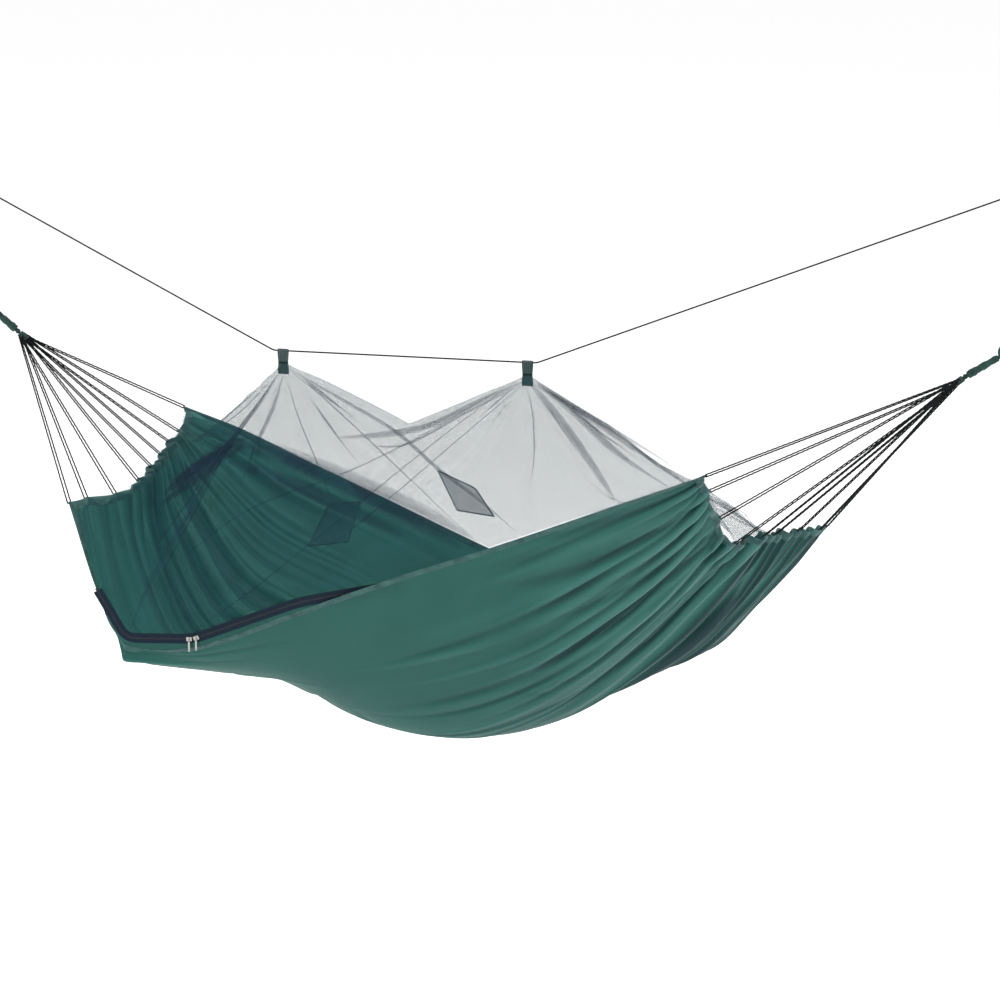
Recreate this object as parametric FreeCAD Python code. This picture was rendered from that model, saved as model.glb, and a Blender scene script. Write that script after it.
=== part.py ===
import FreeCAD, Part
import math
import os
from FreeCAD import Vector

# Camping hammock with a built-in insect net, hung between two loops.
# Frame: origin in the eye of the head loop, +X towards the foot loop, +Y towards the far long
# edge, +Z up. The near long edge, with the zip, is at -Y. All sizes are in millimetres.

# ---- Driving dimensions ----
HEAD_EYE = Vector(0, 0, 0)
FOOT_EYE = Vector(2788, 0, 0)
HEAD_APEX = Vector(84, 0, -70)       # where the head cords gather, on the swing axis
FOOT_APEX = Vector(2682, 0, -70)     # where the foot cords gather, on the swing axis

BED_THICKNESS = 2.5
NET_THICKNESS = 1.5
HEM_RADIUS = 6.0                     # gathered end hems, which hold the cords
EDGE_RADIUS = 3.0                    # rolled long edges

CORD_RADIUS = 1.8
LEG_HALF_SPACING = 4.0               # half the distance between the two legs of a cord at the hem
BUNDLE_STEP = 1.2                    # sideways step from one leg to the next in the gathered bundle
BUNDLE_LAYERS = 4
BUNDLE_LAYER_STEP = 3.8
COLLAR_START = 8.0                   # distance of the collar from the swing axis
COLLAR_LENGTH = 26.0
COLLAR_HALF_WIDTH = 13.5
COLLAR_HALF_HEIGHT = 8.0

LOOP_RING_RADIUS = 20.0
LOOP_ROPE_RADIUS = 4.5
LOOP_CORE_RADIUS = 5.5
LOOP_BALL_RADIUS = 7.0
SLEEVE_BORE_RADIUS = 6.0
SLEEVE_TOP_RADIUS = 8.0
SLEEVE_BOTTOM_RADIUS = 10.0

RIDGE_CORD_RADIUS = 2.0
RIDGE_HEIGHT = -89.0                 # height of the ridge cord between its two tabs
HEAD_TAB_X = 839.0
FOOT_TAB_X = 1516.0
TAB_WIDTH = 30.0
TAB_LENGTH = 68.0
TAB_THICKNESS = 1.8
TAB_LOOP_RADIUS = 2.6                # inside radius of the fold that runs on the ridge cord
RIDGE_HEAD_END = Vector(11, 0, 319)
RIDGE_FOOT_END = Vector(2791, 0, 417)
RIDGE_BEND_RADIUS = 35.0
END_LOOP_RADIUS = 11.0

TAPE_THICKNESS = 1.0
TAPE_WIDTH = 13.5                    # from the middle of the zip to the outside of one tape
COIL_INNER = 0.6
COIL_OUTER = 3.0
COIL_THICKNESS = 3.0
SLIDER_LENGTH = 15.0
SLIDER_HEIGHT = 11.0
SLIDER_PLATE = 1.5
SLIDER_GAP = 2.0                     # from the middle of the coil to the inside of a slider plate
SLIDER_OFFSET = 10.0                 # each slider's place along the zip from the meeting point
BOW_ROOM = 3.0                       # space between a slider's front plate and its bow
BOW_WIDTH = 1.2
BOW_REACH = 3.6                      # height of each bow post above or below the pull's crossbar
PULL_LENGTH = 34.0
PULL_WIDTH = 5.0
PULL_THICKNESS = 1.2

# ---- Hems: the points where the cord loops hold the end hems, from the near to the far edge ----
HEAD_HEM = [
    Vector(360, -424, -428), Vector(386, -360, -431), Vector(438, -270, -442),
    Vector(468, -160, -431), Vector(471, -50, -421), Vector(464, 60, -416),
    Vector(454, 170, -408), Vector(450, 280, -407), Vector(433, 400, -368),
]
FOOT_HEM = [
    Vector(2063, -418, -260), Vector(2064, -350, -319), Vector(2078, -250, -419),
    Vector(2104, -140, -520), Vector(2164, -10, -532), Vector(2180, 100, -560),
    Vector(2231, 220, -580), Vector(2277, 330, -606), Vector(2291, 400, -614),
]

# ---- Long edges of the bed between the hems, and how far the bed sags below them ----
NEAR_EDGE = [
    Vector(445, -464, -660), Vector(524, -480, -796), Vector(718, -484, -786),
    Vector(1003, -475, -672), Vector(1272, -470, -563), Vector(1536, -460, -466),
    Vector(1769, -450, -374), Vector(1935, -435, -310),
]
FAR_EDGE = [
    Vector(590, 430, -433), Vector(762, 445, -514), Vector(1010, 455, -625),
    Vector(1257, 465, -736), Vector(1490, 475, -838), Vector(1722, 480, -942),
    Vector(1934, 485, -1029), Vector(2106, 445, -856),
]
BED_SAG = [110, 235, 275, 400, 450, 380, 215, 125]
# The near bottom corner is pulled out sideways: (station, column) and the point it is pulled to.
PULLED_POINTS = {
    (1, 1): Vector(462, -405, -715),
    (2, 1): Vector(520, -496, -842),
    (3, 1): Vector(745, -420, -872),
}
# Places where the cloth hangs lower, or is held higher, than the even curve: millimetres up.
HANG_CHANGES = {
    (3, 1): 6, (3, 2): 24, (3, 3): 20,
    (4, 2): -6, (4, 3): -26, (4, 4): -20,
    (5, 3): -22, (5, 4): -12,
    (6, 5): 30, (6, 6): 36, (6, 7): 12,
    (7, 4): 20, (7, 5): 36, (7, 6): 42, (7, 7): 24,
}

# ---- Net: its lower near line, and its top line from the head to the foot ----
NET_NEAR_LINE = [
    Vector(461, -474, -642), Vector(534, -486, -758), Vector(711, -488, -747),
    Vector(997, -478, -629), Vector(1286, -430, -573), Vector(1536, -450, -452),
    Vector(1769, -440, -360), Vector(1935, -425, -296),
]
NET_TOP_LINE = [
    Vector(600, 0, -330), Vector(720, 0, -240), Vector(HEAD_TAB_X, 0, -166),
    Vector(1190, 0, -285), Vector(FOOT_TAB_X, 0, -166), Vector(1714, 0, -230),
    Vector(1880, 60, -345), Vector(2070, 150, -500),
]
NET_SAG_RATIO = 0.02
NET_HEM_INSET = Vector(12, 0, 12)
NET_FAR_INSET = Vector(0, -4, 14)

# ---- Zip: middle line, from its head stop round the pulled corner and along the near edge ----
ZIP_HEAD_STOP = Vector(448, -474, -650)
ZIP_CORNER = Vector(526, -486, -774)
ZIP_MEETING = Vector(712, -488, -764)
ZIP_BEND = Vector(1003, -478, -646)
ZIP_FOOT_STOP = Vector(1290, -430, -590)
ZIP_LINE = [ZIP_HEAD_STOP, ZIP_CORNER, ZIP_MEETING, ZIP_BEND, ZIP_FOOT_STOP]

# ---- Pockets, on the inside of the near side of the net ----
# Four corners each, mouth first, as (station, column) places on the net.
POCKET_PLACES = {
    "foot_pocket": [(4.5, 2.8), (5.0, 2.1), (5.55, 1.2), (5.0, 1.55)],
    "head_pocket": [(3.7, 2.3), (3.95, 2.4), (4.1, 1.35), (3.75, 1.35)],
}
POCKET_GAP = 14.0                    # clear height under the net at the foot of a pocket
POCKET_MOUTH_EXTRA = 14.0            # further height at its mouth
POCKET_THICKNESS = 1.0
BINDING_RADIUS = 1.6

COLUMNS = len(HEAD_HEM)
LEVEL = Vector(1, 0, 0)
UP = Vector(0, 0, 1)
OUTWARD = Vector(0, -1, 0)


# ---- Helpers ----
def unit(vector):
    return vector * (1.0 / vector.Length)


def tube(start, end, radius):
    """A round bar between two points."""
    return Part.makeCylinder(radius, (end - start).Length, start, end - start)


def rounded_route(points, radii):
    """Straight runs between the points, joined by tangent arcs of the given radii."""
    edges = []
    start = points[0]
    for corner, radius, before, after in zip(points[1:-1], radii, points, points[2:]):
        back = unit(before - corner)
        ahead = unit(after - corner)
        half_turn = (math.pi - back.getAngle(ahead)) / 2
        reach = radius * math.tan(half_turn)
        entry = corner + back * reach
        leave = corner + ahead * reach
        to_centre = unit(back + ahead)
        middle = corner + to_centre * (radius / math.cos(half_turn) - radius)
        edges.append(Part.LineSegment(start, entry).toShape())
        edges.append(Part.Arc(entry, middle, leave).toShape())
        start = leave
    edges.append(Part.LineSegment(start, points[-1]).toShape())
    return Part.Wire(edges)


def largest_radii(points, share):
    """The arc radius at each inner point, from the share of its shorter run that an arc takes."""
    radii = []
    for before, corner, after in zip(points, points[1:], points[2:]):
        run = min((before - corner).Length, (after - corner).Length)
        half_turn = (math.pi - (before - corner).getAngle(after - corner)) / 2
        radii.append(share * run / math.tan(half_turn))
    return radii


def round_pipe(points, radii, pipe_radius):
    """A round pipe along straight runs and tangent arcs."""
    route = rounded_route(points, radii)
    section = Part.Wire(Part.makeCircle(pipe_radius, points[0], points[1] - points[0]))
    return route.makePipeShell([section], True, False)


def grid_normals(grid):
    """A unit normal at each point of a grid, from the points beside it."""
    rows = len(grid)
    columns = len(grid[0])
    normals = []
    for i in range(rows):
        line = []
        for j in range(columns):
            along = grid[min(i + 1, rows - 1)][j] - grid[max(i - 1, 0)][j]
            across = grid[i][min(j + 1, columns - 1)] - grid[i][max(j - 1, 0)]
            line.append(unit(along.cross(across)))
        normals.append(line)
    return normals


def offset_grid(grid, distance):
    normals = grid_normals(grid)
    return [[point + normal * distance for point, normal in zip(points, line)]
            for points, line in zip(grid, normals)]


def pushed_line(points):
    """Control points whose smooth curve passes close to the given points."""
    pushed = [points[0]]
    for before, point, after in zip(points, points[1:], points[2:]):
        pushed.append(point - (before - point * 2 + after) * (1 / 6))
    pushed.append(points[-1])
    return pushed


def smooth_surface(grid):
    """A cubic surface close to a grid of points, with the grid's own corners."""
    rows = [pushed_line(line) for line in grid]
    columns = [pushed_line(list(column)) for column in zip(*rows)]
    poles = [list(line) for line in zip(*columns)]
    spans = [len(poles) - 3, len(poles[0]) - 3]
    mults = [[4] + [1] * (span - 1) + [4] for span in spans]
    knots = [list(range(span + 1)) for span in spans]
    surface = Part.BSplineSurface()
    surface.buildFromPolesMultsKnots(poles, mults[0], mults[1], knots[0], knots[1], False, False, 3, 3)
    return surface


def smooth_sheet(grid, thickness):
    """A closed thin solid with two smooth skins near a grid of points."""
    first, second = [smooth_surface(offset_grid(grid, side * thickness)) for side in (0.5, -0.5)]
    u0, u1, v0, v1 = first.bounds()
    faces = [first.toShape(), second.toShape()]
    for place in (u0, u1):
        faces.append(Part.makeRuledSurface(first.uIso(place).toShape(), second.uIso(place).toShape()))
    for place in (v0, v1):
        faces.append(Part.makeRuledSurface(first.vIso(place).toShape(), second.vIso(place).toShape()))
    return closed_solid(faces)


def panel_sheet(grid, thickness):
    """A closed thin solid of flat triangles through a grid of points."""
    top = offset_grid(grid, thickness / 2)
    bottom = offset_grid(grid, -thickness / 2)
    rows = len(grid)
    columns = len(grid[0])
    quads = []
    for i in range(rows - 1):
        for j in range(columns - 1):
            for skin in (top, bottom):
                quads.append((skin[i][j], skin[i + 1][j], skin[i + 1][j + 1], skin[i][j + 1]))
    for i in range(rows - 1):
        for j in (0, columns - 1):
            quads.append((top[i][j], top[i + 1][j], bottom[i + 1][j], bottom[i][j]))
    for j in range(columns - 1):
        for i in (0, rows - 1):
            quads.append((top[i][j], top[i][j + 1], bottom[i][j + 1], bottom[i][j]))
    faces = []
    for a, b, c, d in quads:
        faces.append(Part.Face(Part.makePolygon([a, b, c, a])))
        faces.append(Part.Face(Part.makePolygon([a, c, d, a])))
    return closed_solid(faces)


def closed_solid(faces):
    shell = Part.makeShell(faces)
    shell.sewShape()
    solid = Part.makeSolid(shell)
    if solid.Volume < 0:
        solid.reverse()
    return solid


def local_box(centre, along, up, outward, size, shift):
    """A box in a local frame: size and shift are (along, up, outward)."""
    corner = centre + along * (shift[0] - size[0] / 2) + up * (shift[1] - size[1] / 2)
    corner = corner + outward * (shift[2] - size[2] / 2)
    outline = [corner, corner + along * size[0], corner + along * size[0] + up * size[1],
               corner + up * size[1], corner]
    return Part.Face(Part.makePolygon(outline)).extrude(outward * size[2])


# ---- Bed ----
def bed_grid():
    """Points of the bed: each station hangs in a curve between the two long edges."""
    grid = [list(HEAD_HEM)]
    for near, far, sag in zip(NEAR_EDGE, FAR_EDGE, BED_SAG):
        line = []
        for j in range(COLUMNS):
            s = j / (COLUMNS - 1)
            line.append(near + (far - near) * s - UP * (sag * 4 * s * (1 - s)))
        grid.append(line)
    grid.append(list(FOOT_HEM))
    for (i, j), point in PULLED_POINTS.items():
        grid[i][j] = point
    for (i, j), change in HANG_CHANGES.items():
        grid[i][j] = grid[i][j] + Vector(0, 0, change)
    return grid


def hem_tube(points, radius):
    return round_pipe(points, largest_radii(points, 0.12), radius)


def make_bed():
    near = [HEAD_HEM[0]] + NEAR_EDGE + [FOOT_HEM[0]]
    far = [HEAD_HEM[-1]] + FAR_EDGE + [FOOT_HEM[-1]]
    return {
        "bed_panel": smooth_sheet(bed_grid(), BED_THICKNESS),
        "head_hem": hem_tube(HEAD_HEM, HEM_RADIUS),
        "foot_hem": hem_tube(FOOT_HEM, HEM_RADIUS),
        "near_edge_hem": hem_tube(near, EDGE_RADIUS),
        "far_edge_hem": hem_tube(far, EDGE_RADIUS),
    }


# ---- Suspension cords, their collars and the loops ----
def bundle_frame(apex, hem):
    """Directions of a cord bundle: along it, and across its layers."""
    middle = hem[0]
    for point in hem[1:]:
        middle = middle + point
    middle = middle * (1.0 / len(hem))
    along = unit(Vector(middle.x - apex.x, 0, middle.z - apex.z))
    return along, along.cross(Vector(0, 1, 0))


def cord_loop(apex, hem, index):
    """One cord: two legs from the bundle to the hem, joined by a turn inside the hem."""
    along, across = bundle_frame(apex, hem)
    before = hem[max(index - 1, 0)]
    after = hem[min(index + 1, len(hem) - 1)]
    tangent = unit(after - before)
    ends = []
    legs = []
    for side in (0, 1):
        leg = 2 * index + side
        sideways = (leg - len(hem) + 0.5) * BUNDLE_STEP
        layer = (leg % BUNDLE_LAYERS - (BUNDLE_LAYERS - 1) / 2) * BUNDLE_LAYER_STEP
        start = apex + along * (COLLAR_START + 6.0) + Vector(0, sideways, 0) + across * layer
        end = hem[index] + tangent * ((2 * side - 1) * LEG_HALF_SPACING)
        legs.append(tube(start, end, CORD_RADIUS))
        ends.append(end)
    turn = tube(ends[0], ends[1], CORD_RADIUS)
    return legs[0].fuse([legs[1], turn])


def make_collar(apex, hem):
    """The whipping that binds the cords together below a loop."""
    along, across = bundle_frame(apex, hem)
    centre = apex + along * COLLAR_START
    ellipse = Part.Ellipse(centre + Vector(0, COLLAR_HALF_WIDTH, 0),
                           centre + across * COLLAR_HALF_HEIGHT, centre)
    return Part.Face(Part.Wire(ellipse.toShape())).extrude(along * COLLAR_LENGTH)


def make_loop(eye, apex):
    """A rope loop with its ball-ended neck, and the cloth sleeve round the neck."""
    down = unit(apex - eye)
    ring = Part.makeTorus(LOOP_RING_RADIUS, LOOP_ROPE_RADIUS, eye, Vector(0, 1, 0))
    neck = tube(eye + down * LOOP_RING_RADIUS, apex, LOOP_CORE_RADIUS)
    ball = Part.makeSphere(LOOP_BALL_RADIUS, apex)
    sleeve_top = eye + down * (LOOP_RING_RADIUS + LOOP_ROPE_RADIUS + 4.0)
    sleeve_bottom = apex - down * (LOOP_BALL_RADIUS + 1.5)
    length = (sleeve_bottom - sleeve_top).Length
    sleeve = Part.makeCone(SLEEVE_TOP_RADIUS, SLEEVE_BOTTOM_RADIUS, length, sleeve_top, down)
    bore = Part.makeCylinder(SLEEVE_BORE_RADIUS, length, sleeve_top, down)
    return ring.fuse([neck, ball]), sleeve.cut(bore)


def make_suspension():
    nodes = {}
    ends = {"head": (HEAD_EYE, HEAD_APEX, HEAD_HEM), "foot": (FOOT_EYE, FOOT_APEX, FOOT_HEM)}
    for name, (eye, apex, hem) in ends.items():
        loop, sleeve = make_loop(eye, apex)
        nodes[f"{name}_loop"] = loop
        nodes[f"{name}_loop_sleeve"] = sleeve
        nodes[f"{name}_cord_collar"] = make_collar(apex, hem)
        for index in range(len(hem)):
            nodes[f"{name}_cord_{index + 1:02d}"] = cord_loop(apex, hem, index)
    return nodes


# ---- Ridge cord with its end loops and tabs ----
def ridge_route():
    head_bend = Vector(HEAD_TAB_X - TAB_WIDTH / 2 - 10, 0, RIDGE_HEIGHT)
    foot_bend = Vector(FOOT_TAB_X + TAB_WIDTH / 2 + 10, 0, RIDGE_HEIGHT)
    return [RIDGE_HEAD_END, head_bend, foot_bend, RIDGE_FOOT_END]


def make_end_loop(end, inner_point):
    """The knot at an end of the ridge cord, and the tied loop beyond it."""
    outward = unit(end - inner_point)
    knot = Part.makeSphere(4.5, end)
    ring = Part.makeTorus(END_LOOP_RADIUS, RIDGE_CORD_RADIUS,
                          end + outward * (END_LOOP_RADIUS + 3.0), Vector(0, 1, 0))
    return knot.fuse(ring)


def make_tab(middle_x):
    """A webbing strip folded over the ridge cord, its two layers sewn together below."""
    top = RIDGE_HEIGHT + RIDGE_CORD_RADIUS + 0.4 - TAB_LOOP_RADIUS
    outer = TAB_LOOP_RADIUS + TAB_THICKNESS
    start_x = middle_x - TAB_WIDTH / 2
    along = Vector(TAB_WIDTH, 0, 0)
    centre = Vector(start_x, 0, top)
    fold = Part.makeCylinder(outer, TAB_WIDTH, centre, Vector(1, 0, 0))
    tail_length = TAB_LENGTH - outer
    outline = [
        Vector(start_x, -outer, top), Vector(start_x, outer, top),
        Vector(start_x, TAB_THICKNESS, top - 14), Vector(start_x, TAB_THICKNESS, top - tail_length),
        Vector(start_x, -TAB_THICKNESS, top - tail_length), Vector(start_x, -TAB_THICKNESS, top - 14),
        Vector(start_x, -outer, top),
    ]
    tail = Part.Face(Part.makePolygon(outline)).extrude(along)
    tunnel = Part.makeCylinder(TAB_LOOP_RADIUS, TAB_WIDTH, centre, Vector(1, 0, 0))
    bartack_height = top - 30.0
    bars = []
    for side in (-1, 1):
        bar = Part.makeBox(TAB_WIDTH - 4, 0.8, 6.0,
                           Vector(start_x + 2, side * (TAB_THICKNESS + 0.4) - 0.4, bartack_height))
        bars.append(bar)
    return fold.fuse(tail).cut(tunnel), Part.makeCompound(bars)


def make_ridge():
    route = ridge_route()
    radii = [RIDGE_BEND_RADIUS, RIDGE_BEND_RADIUS]
    cord = round_pipe(route, radii, RIDGE_CORD_RADIUS)
    length = rounded_route(route, radii).Length
    print("ridge cord length", round(length), "bend radii", radii,
          "volume ratio", round(cord.Volume / (length * math.pi * RIDGE_CORD_RADIUS ** 2), 4))
    head_tab, head_bartack = make_tab(HEAD_TAB_X)
    foot_tab, foot_bartack = make_tab(FOOT_TAB_X)
    return {
        "ridge_cord": cord,
        "ridge_cord_head_loop": make_end_loop(route[0], route[1]),
        "ridge_cord_foot_loop": make_end_loop(route[3], route[2]),
        "head_tab": head_tab,
        "head_tab_bartack": head_bartack,
        "foot_tab": foot_tab,
        "foot_tab_bartack": foot_bartack,
    }


# ---- Net and pockets ----
def net_grid():
    """Points of the net: a tent from the near line over the top line to the far edge."""
    grid = [[point + NET_HEM_INSET for point in HEAD_HEM]]
    half = (COLUMNS - 1) // 2
    for near, top, far in zip(NET_NEAR_LINE, NET_TOP_LINE, FAR_EDGE):
        line = []
        for start, end in ((near, top), (top, far + NET_FAR_INSET)):
            sag = NET_SAG_RATIO * (end - start).Length
            first = 0 if start is near else 1
            for k in range(first, half + 1):
                s = k / half
                line.append(start + (end - start) * s - UP * (sag * 4 * s * (1 - s)))
        grid.append(line)
    inset = Vector(-NET_HEM_INSET.x, 0, NET_HEM_INSET.z)
    grid.append([point + inset for point in FOOT_HEM])
    return grid


def net_point(grid, place):
    """The point of the net at a place between its stations and columns."""
    i, j = int(place[0]), int(place[1])
    s, t = place[0] - i, place[1] - j
    first = grid[i][j] * (1 - t) + grid[i][j + 1] * t
    second = grid[i + 1][j] * (1 - t) + grid[i + 1][j + 1] * t
    return first * (1 - s) + second * s


def make_pocket(corners):
    """A flat mesh pocket, held clear of the net at its mouth, and its bound rim."""
    normal = unit((corners[1] - corners[0]).cross(corners[3] - corners[0]))
    if normal.z > 0:
        normal = normal * -1
    mouth_gap = POCKET_GAP + POCKET_MOUTH_EXTRA
    gaps = [mouth_gap, mouth_gap, POCKET_GAP, POCKET_GAP]
    lifted = [corner + normal * gap for corner, gap in zip(corners, gaps)]
    panel = panel_sheet([[lifted[0], lifted[1]], [lifted[3], lifted[2]]], POCKET_THICKNESS)
    pieces = []
    for start, end in zip(lifted, lifted[1:] + lifted[:1]):
        pieces.append(tube(start, end, BINDING_RADIUS))
        pieces.append(Part.makeSphere(BINDING_RADIUS, end))
    return panel, pieces[0].fuse(pieces[1:])


def make_net():
    grid = net_grid()
    nodes = {"net_canopy": panel_sheet(grid, NET_THICKNESS)}
    for name, places in POCKET_PLACES.items():
        corners = [net_point(grid, place) for place in places]
        nodes[name], nodes[f"{name}_binding"] = make_pocket(corners)
    return nodes


# ---- Zip ----
def zip_sides():
    """The direction across the zip, from the bed to the net, at each point of its line."""
    sides = []
    for i, point in enumerate(ZIP_LINE):
        runs = []
        if i > 0:
            runs.append(unit(point - ZIP_LINE[i - 1]))
        if i < len(ZIP_LINE) - 1:
            runs.append(unit(ZIP_LINE[i + 1] - point))
        across = [unit(Vector(-run.z, 0, run.x)) for run in runs]
        side = unit(across[0] + across[-1])
        stretch = 1.0 / math.cos(side.getAngle(across[0]))
        sides.append(side * stretch)
    return sides


def zip_strip(inner, outer, thickness):
    """A strip that follows the zip, from one distance off its middle to another."""
    grid = []
    for point, side in zip(ZIP_LINE, zip_sides()):
        grid.append([point + side * inner, point + side * outer])
    return panel_sheet(grid, thickness)


def slider_frame(sign):
    """Centre and directions of a slider beside the meeting point."""
    target = ZIP_BEND if sign > 0 else ZIP_CORNER
    run = unit(target - ZIP_MEETING)
    centre = ZIP_MEETING + run * SLIDER_OFFSET
    along = run * sign
    up = unit(UP - along * along.dot(UP))
    outward = unit(along.cross(up))
    return centre, along, up, outward


def pull_pivot(sign):
    """The middle of the crossbar that a pull tab hangs by, between its bow and its slider."""
    centre, along, up, outward = slider_frame(sign)
    return centre + outward * (SLIDER_GAP + SLIDER_PLATE + BOW_ROOM / 2)


def make_slider(sign):
    """Two plates round the coil, a thin neck between the coil halves and a bow for the pull."""
    centre, along, up, outward = slider_frame(sign)
    plate = (SLIDER_LENGTH, SLIDER_HEIGHT, SLIDER_PLATE)
    neck = (4, 0.6, 2 * SLIDER_GAP + 1)
    middle = SLIDER_GAP + SLIDER_PLATE / 2
    front = local_box(centre, along, up, outward, plate, (0, 0, middle))
    pieces = [local_box(centre, along, up, outward, plate, (0, 0, -middle)),
              local_box(centre, along, up, outward, neck, (0, 0, 0))]
    pivot = pull_pivot(sign)
    for side in (-1, 1):
        post = (BOW_WIDTH, BOW_WIDTH, BOW_ROOM + 1.4)
        pieces.append(local_box(pivot, LEVEL, UP, OUTWARD, post, (0, side * BOW_REACH, 0)))
    bar = (BOW_WIDTH, 2 * BOW_REACH + BOW_WIDTH, 1.0)
    pieces.append(local_box(pivot, LEVEL, UP, OUTWARD, bar, (0, 0, BOW_ROOM / 2 + 0.2)))
    return front.fuse(pieces)


def make_pull(sign):
    """A pull tab that hangs from the slider's bow by its own crossbar."""
    pivot = pull_pivot(sign)
    half = LEVEL * (PULL_WIDTH / 2)
    crossbar = tube(pivot - half, pivot + half, PULL_THICKNESS / 2)
    body = local_box(pivot, LEVEL, UP, OUTWARD, (PULL_WIDTH, PULL_LENGTH, PULL_THICKNESS),
                     (0, -PULL_LENGTH / 2, 0))
    window = local_box(pivot, LEVEL, UP, OUTWARD, (PULL_WIDTH - 2.2, 7.0, 4), (0, -3.2, 0))
    hole = Part.makeCylinder(1.1, 6, pivot - UP * (PULL_LENGTH - 4) - OUTWARD * 3, OUTWARD)
    return body.cut(window).cut(hole).fuse(crossbar)


def make_stop(end, inner_point):
    """A small moulded block that ends the zip."""
    along = unit(inner_point - end)
    across = unit(Vector(-along.z, 0, along.x))
    outward = unit(along.cross(across))
    return local_box(end - along * 3.5, along, across, outward, (6, 9, 3.4), (0, 0, 0))


def make_zip():
    nodes = {
        "zip_tape_bed": zip_strip(-TAPE_WIDTH, -COIL_OUTER, TAPE_THICKNESS),
        "zip_tape_net": zip_strip(COIL_OUTER, TAPE_WIDTH, TAPE_THICKNESS),
        "zip_coil_bed": zip_strip(-COIL_OUTER, -COIL_INNER, COIL_THICKNESS),
        "zip_coil_net": zip_strip(COIL_INNER, COIL_OUTER, COIL_THICKNESS),
        "zip_head_stop": make_stop(ZIP_HEAD_STOP, ZIP_CORNER),
        "zip_foot_stop": make_stop(ZIP_FOOT_STOP, ZIP_BEND),
    }
    for name, sign in (("head", -1), ("foot", 1)):
        nodes[f"zip_slider_{name}"] = make_slider(sign)
        nodes[f"zip_pull_{name}"] = make_pull(sign)
        along = slider_frame(sign)[1]
        print(name, "slider run", along * sign, "pull pivot", pull_pivot(sign))
    return nodes


def main():
    os.makedirs("parts", exist_ok=True)
    nodes = {}
    for maker in (make_bed, make_suspension, make_ridge, make_net, make_zip):
        nodes.update(maker())
    for name, shape in nodes.items():
        if not shape.isValid():
            print("not valid:", name)
        shape.exportStep(f"parts/{name}.step")
        box = shape.BoundBox
        print(f"{name:24s} solids {len(shape.Solids)} volume {shape.Volume / 1000:9.2f} cm3",
              [round(v) for v in (box.XMin, box.XMax, box.YMin, box.YMax, box.ZMin, box.ZMax)])
    print(len(nodes), "nodes")


main()
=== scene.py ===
"""Camping hammock with a built-in insect net: looks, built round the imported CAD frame.

Everything is in metres, in the CAD frame: origin in the eye of the head loop, +X to the foot,
+Y to the far long edge, +Z up. The near long edge, with the zip, is at -Y.
"""
import math

import bpy
import numpy as np
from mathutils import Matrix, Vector


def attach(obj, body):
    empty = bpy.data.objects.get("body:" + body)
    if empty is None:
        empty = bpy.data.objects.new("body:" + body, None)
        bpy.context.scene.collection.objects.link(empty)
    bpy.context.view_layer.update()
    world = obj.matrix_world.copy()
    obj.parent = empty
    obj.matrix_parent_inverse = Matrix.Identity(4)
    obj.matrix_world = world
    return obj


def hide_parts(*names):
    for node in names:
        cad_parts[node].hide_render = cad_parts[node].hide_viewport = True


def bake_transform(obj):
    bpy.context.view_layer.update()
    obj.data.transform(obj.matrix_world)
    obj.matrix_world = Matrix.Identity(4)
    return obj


SEED = 7

# ---- Points shared with the CAD, in metres ----
HEAD_EYE = (0.0, 0.0, 0.0)
FOOT_EYE = (2.788, 0.0, 0.0)
HEAD_APEX = (0.084, 0.0, -0.070)
FOOT_APEX = (2.682, 0.0, -0.070)
HEAD_HEM = [
    (0.360, -0.424, -0.428), (0.386, -0.360, -0.431), (0.438, -0.270, -0.442),
    (0.468, -0.160, -0.431), (0.471, -0.050, -0.421), (0.464, 0.060, -0.416),
    (0.454, 0.170, -0.408), (0.450, 0.280, -0.407), (0.433, 0.400, -0.368),
]
FOOT_HEM = [
    (2.063, -0.418, -0.260), (2.064, -0.350, -0.319), (2.078, -0.250, -0.419),
    (2.104, -0.140, -0.520), (2.164, -0.010, -0.532), (2.180, 0.100, -0.560),
    (2.231, 0.220, -0.580), (2.277, 0.330, -0.606), (2.291, 0.400, -0.614),
]
NEAR_EDGE = [
    (0.445, -0.464, -0.660), (0.524, -0.480, -0.796), (0.718, -0.484, -0.786),
    (1.003, -0.475, -0.672), (1.272, -0.470, -0.563), (1.536, -0.460, -0.466),
    (1.769, -0.450, -0.374), (1.935, -0.435, -0.310),
]
FAR_EDGE = [
    (0.590, 0.430, -0.433), (0.762, 0.445, -0.514), (1.010, 0.455, -0.625),
    (1.257, 0.465, -0.736), (1.490, 0.475, -0.838), (1.722, 0.480, -0.942),
    (1.934, 0.485, -1.029), (2.106, 0.445, -0.856),
]
BED_SAG = [0.110, 0.235, 0.275, 0.400, 0.450, 0.380, 0.215, 0.125]
PULLED_CORNER = (0.520, -0.496, -0.842)
PULLED_POINTS = {(1, 1): (0.462, -0.405, -0.715), (2, 1): PULLED_CORNER, (3, 1): (0.745, -0.420, -0.872)}
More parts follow.
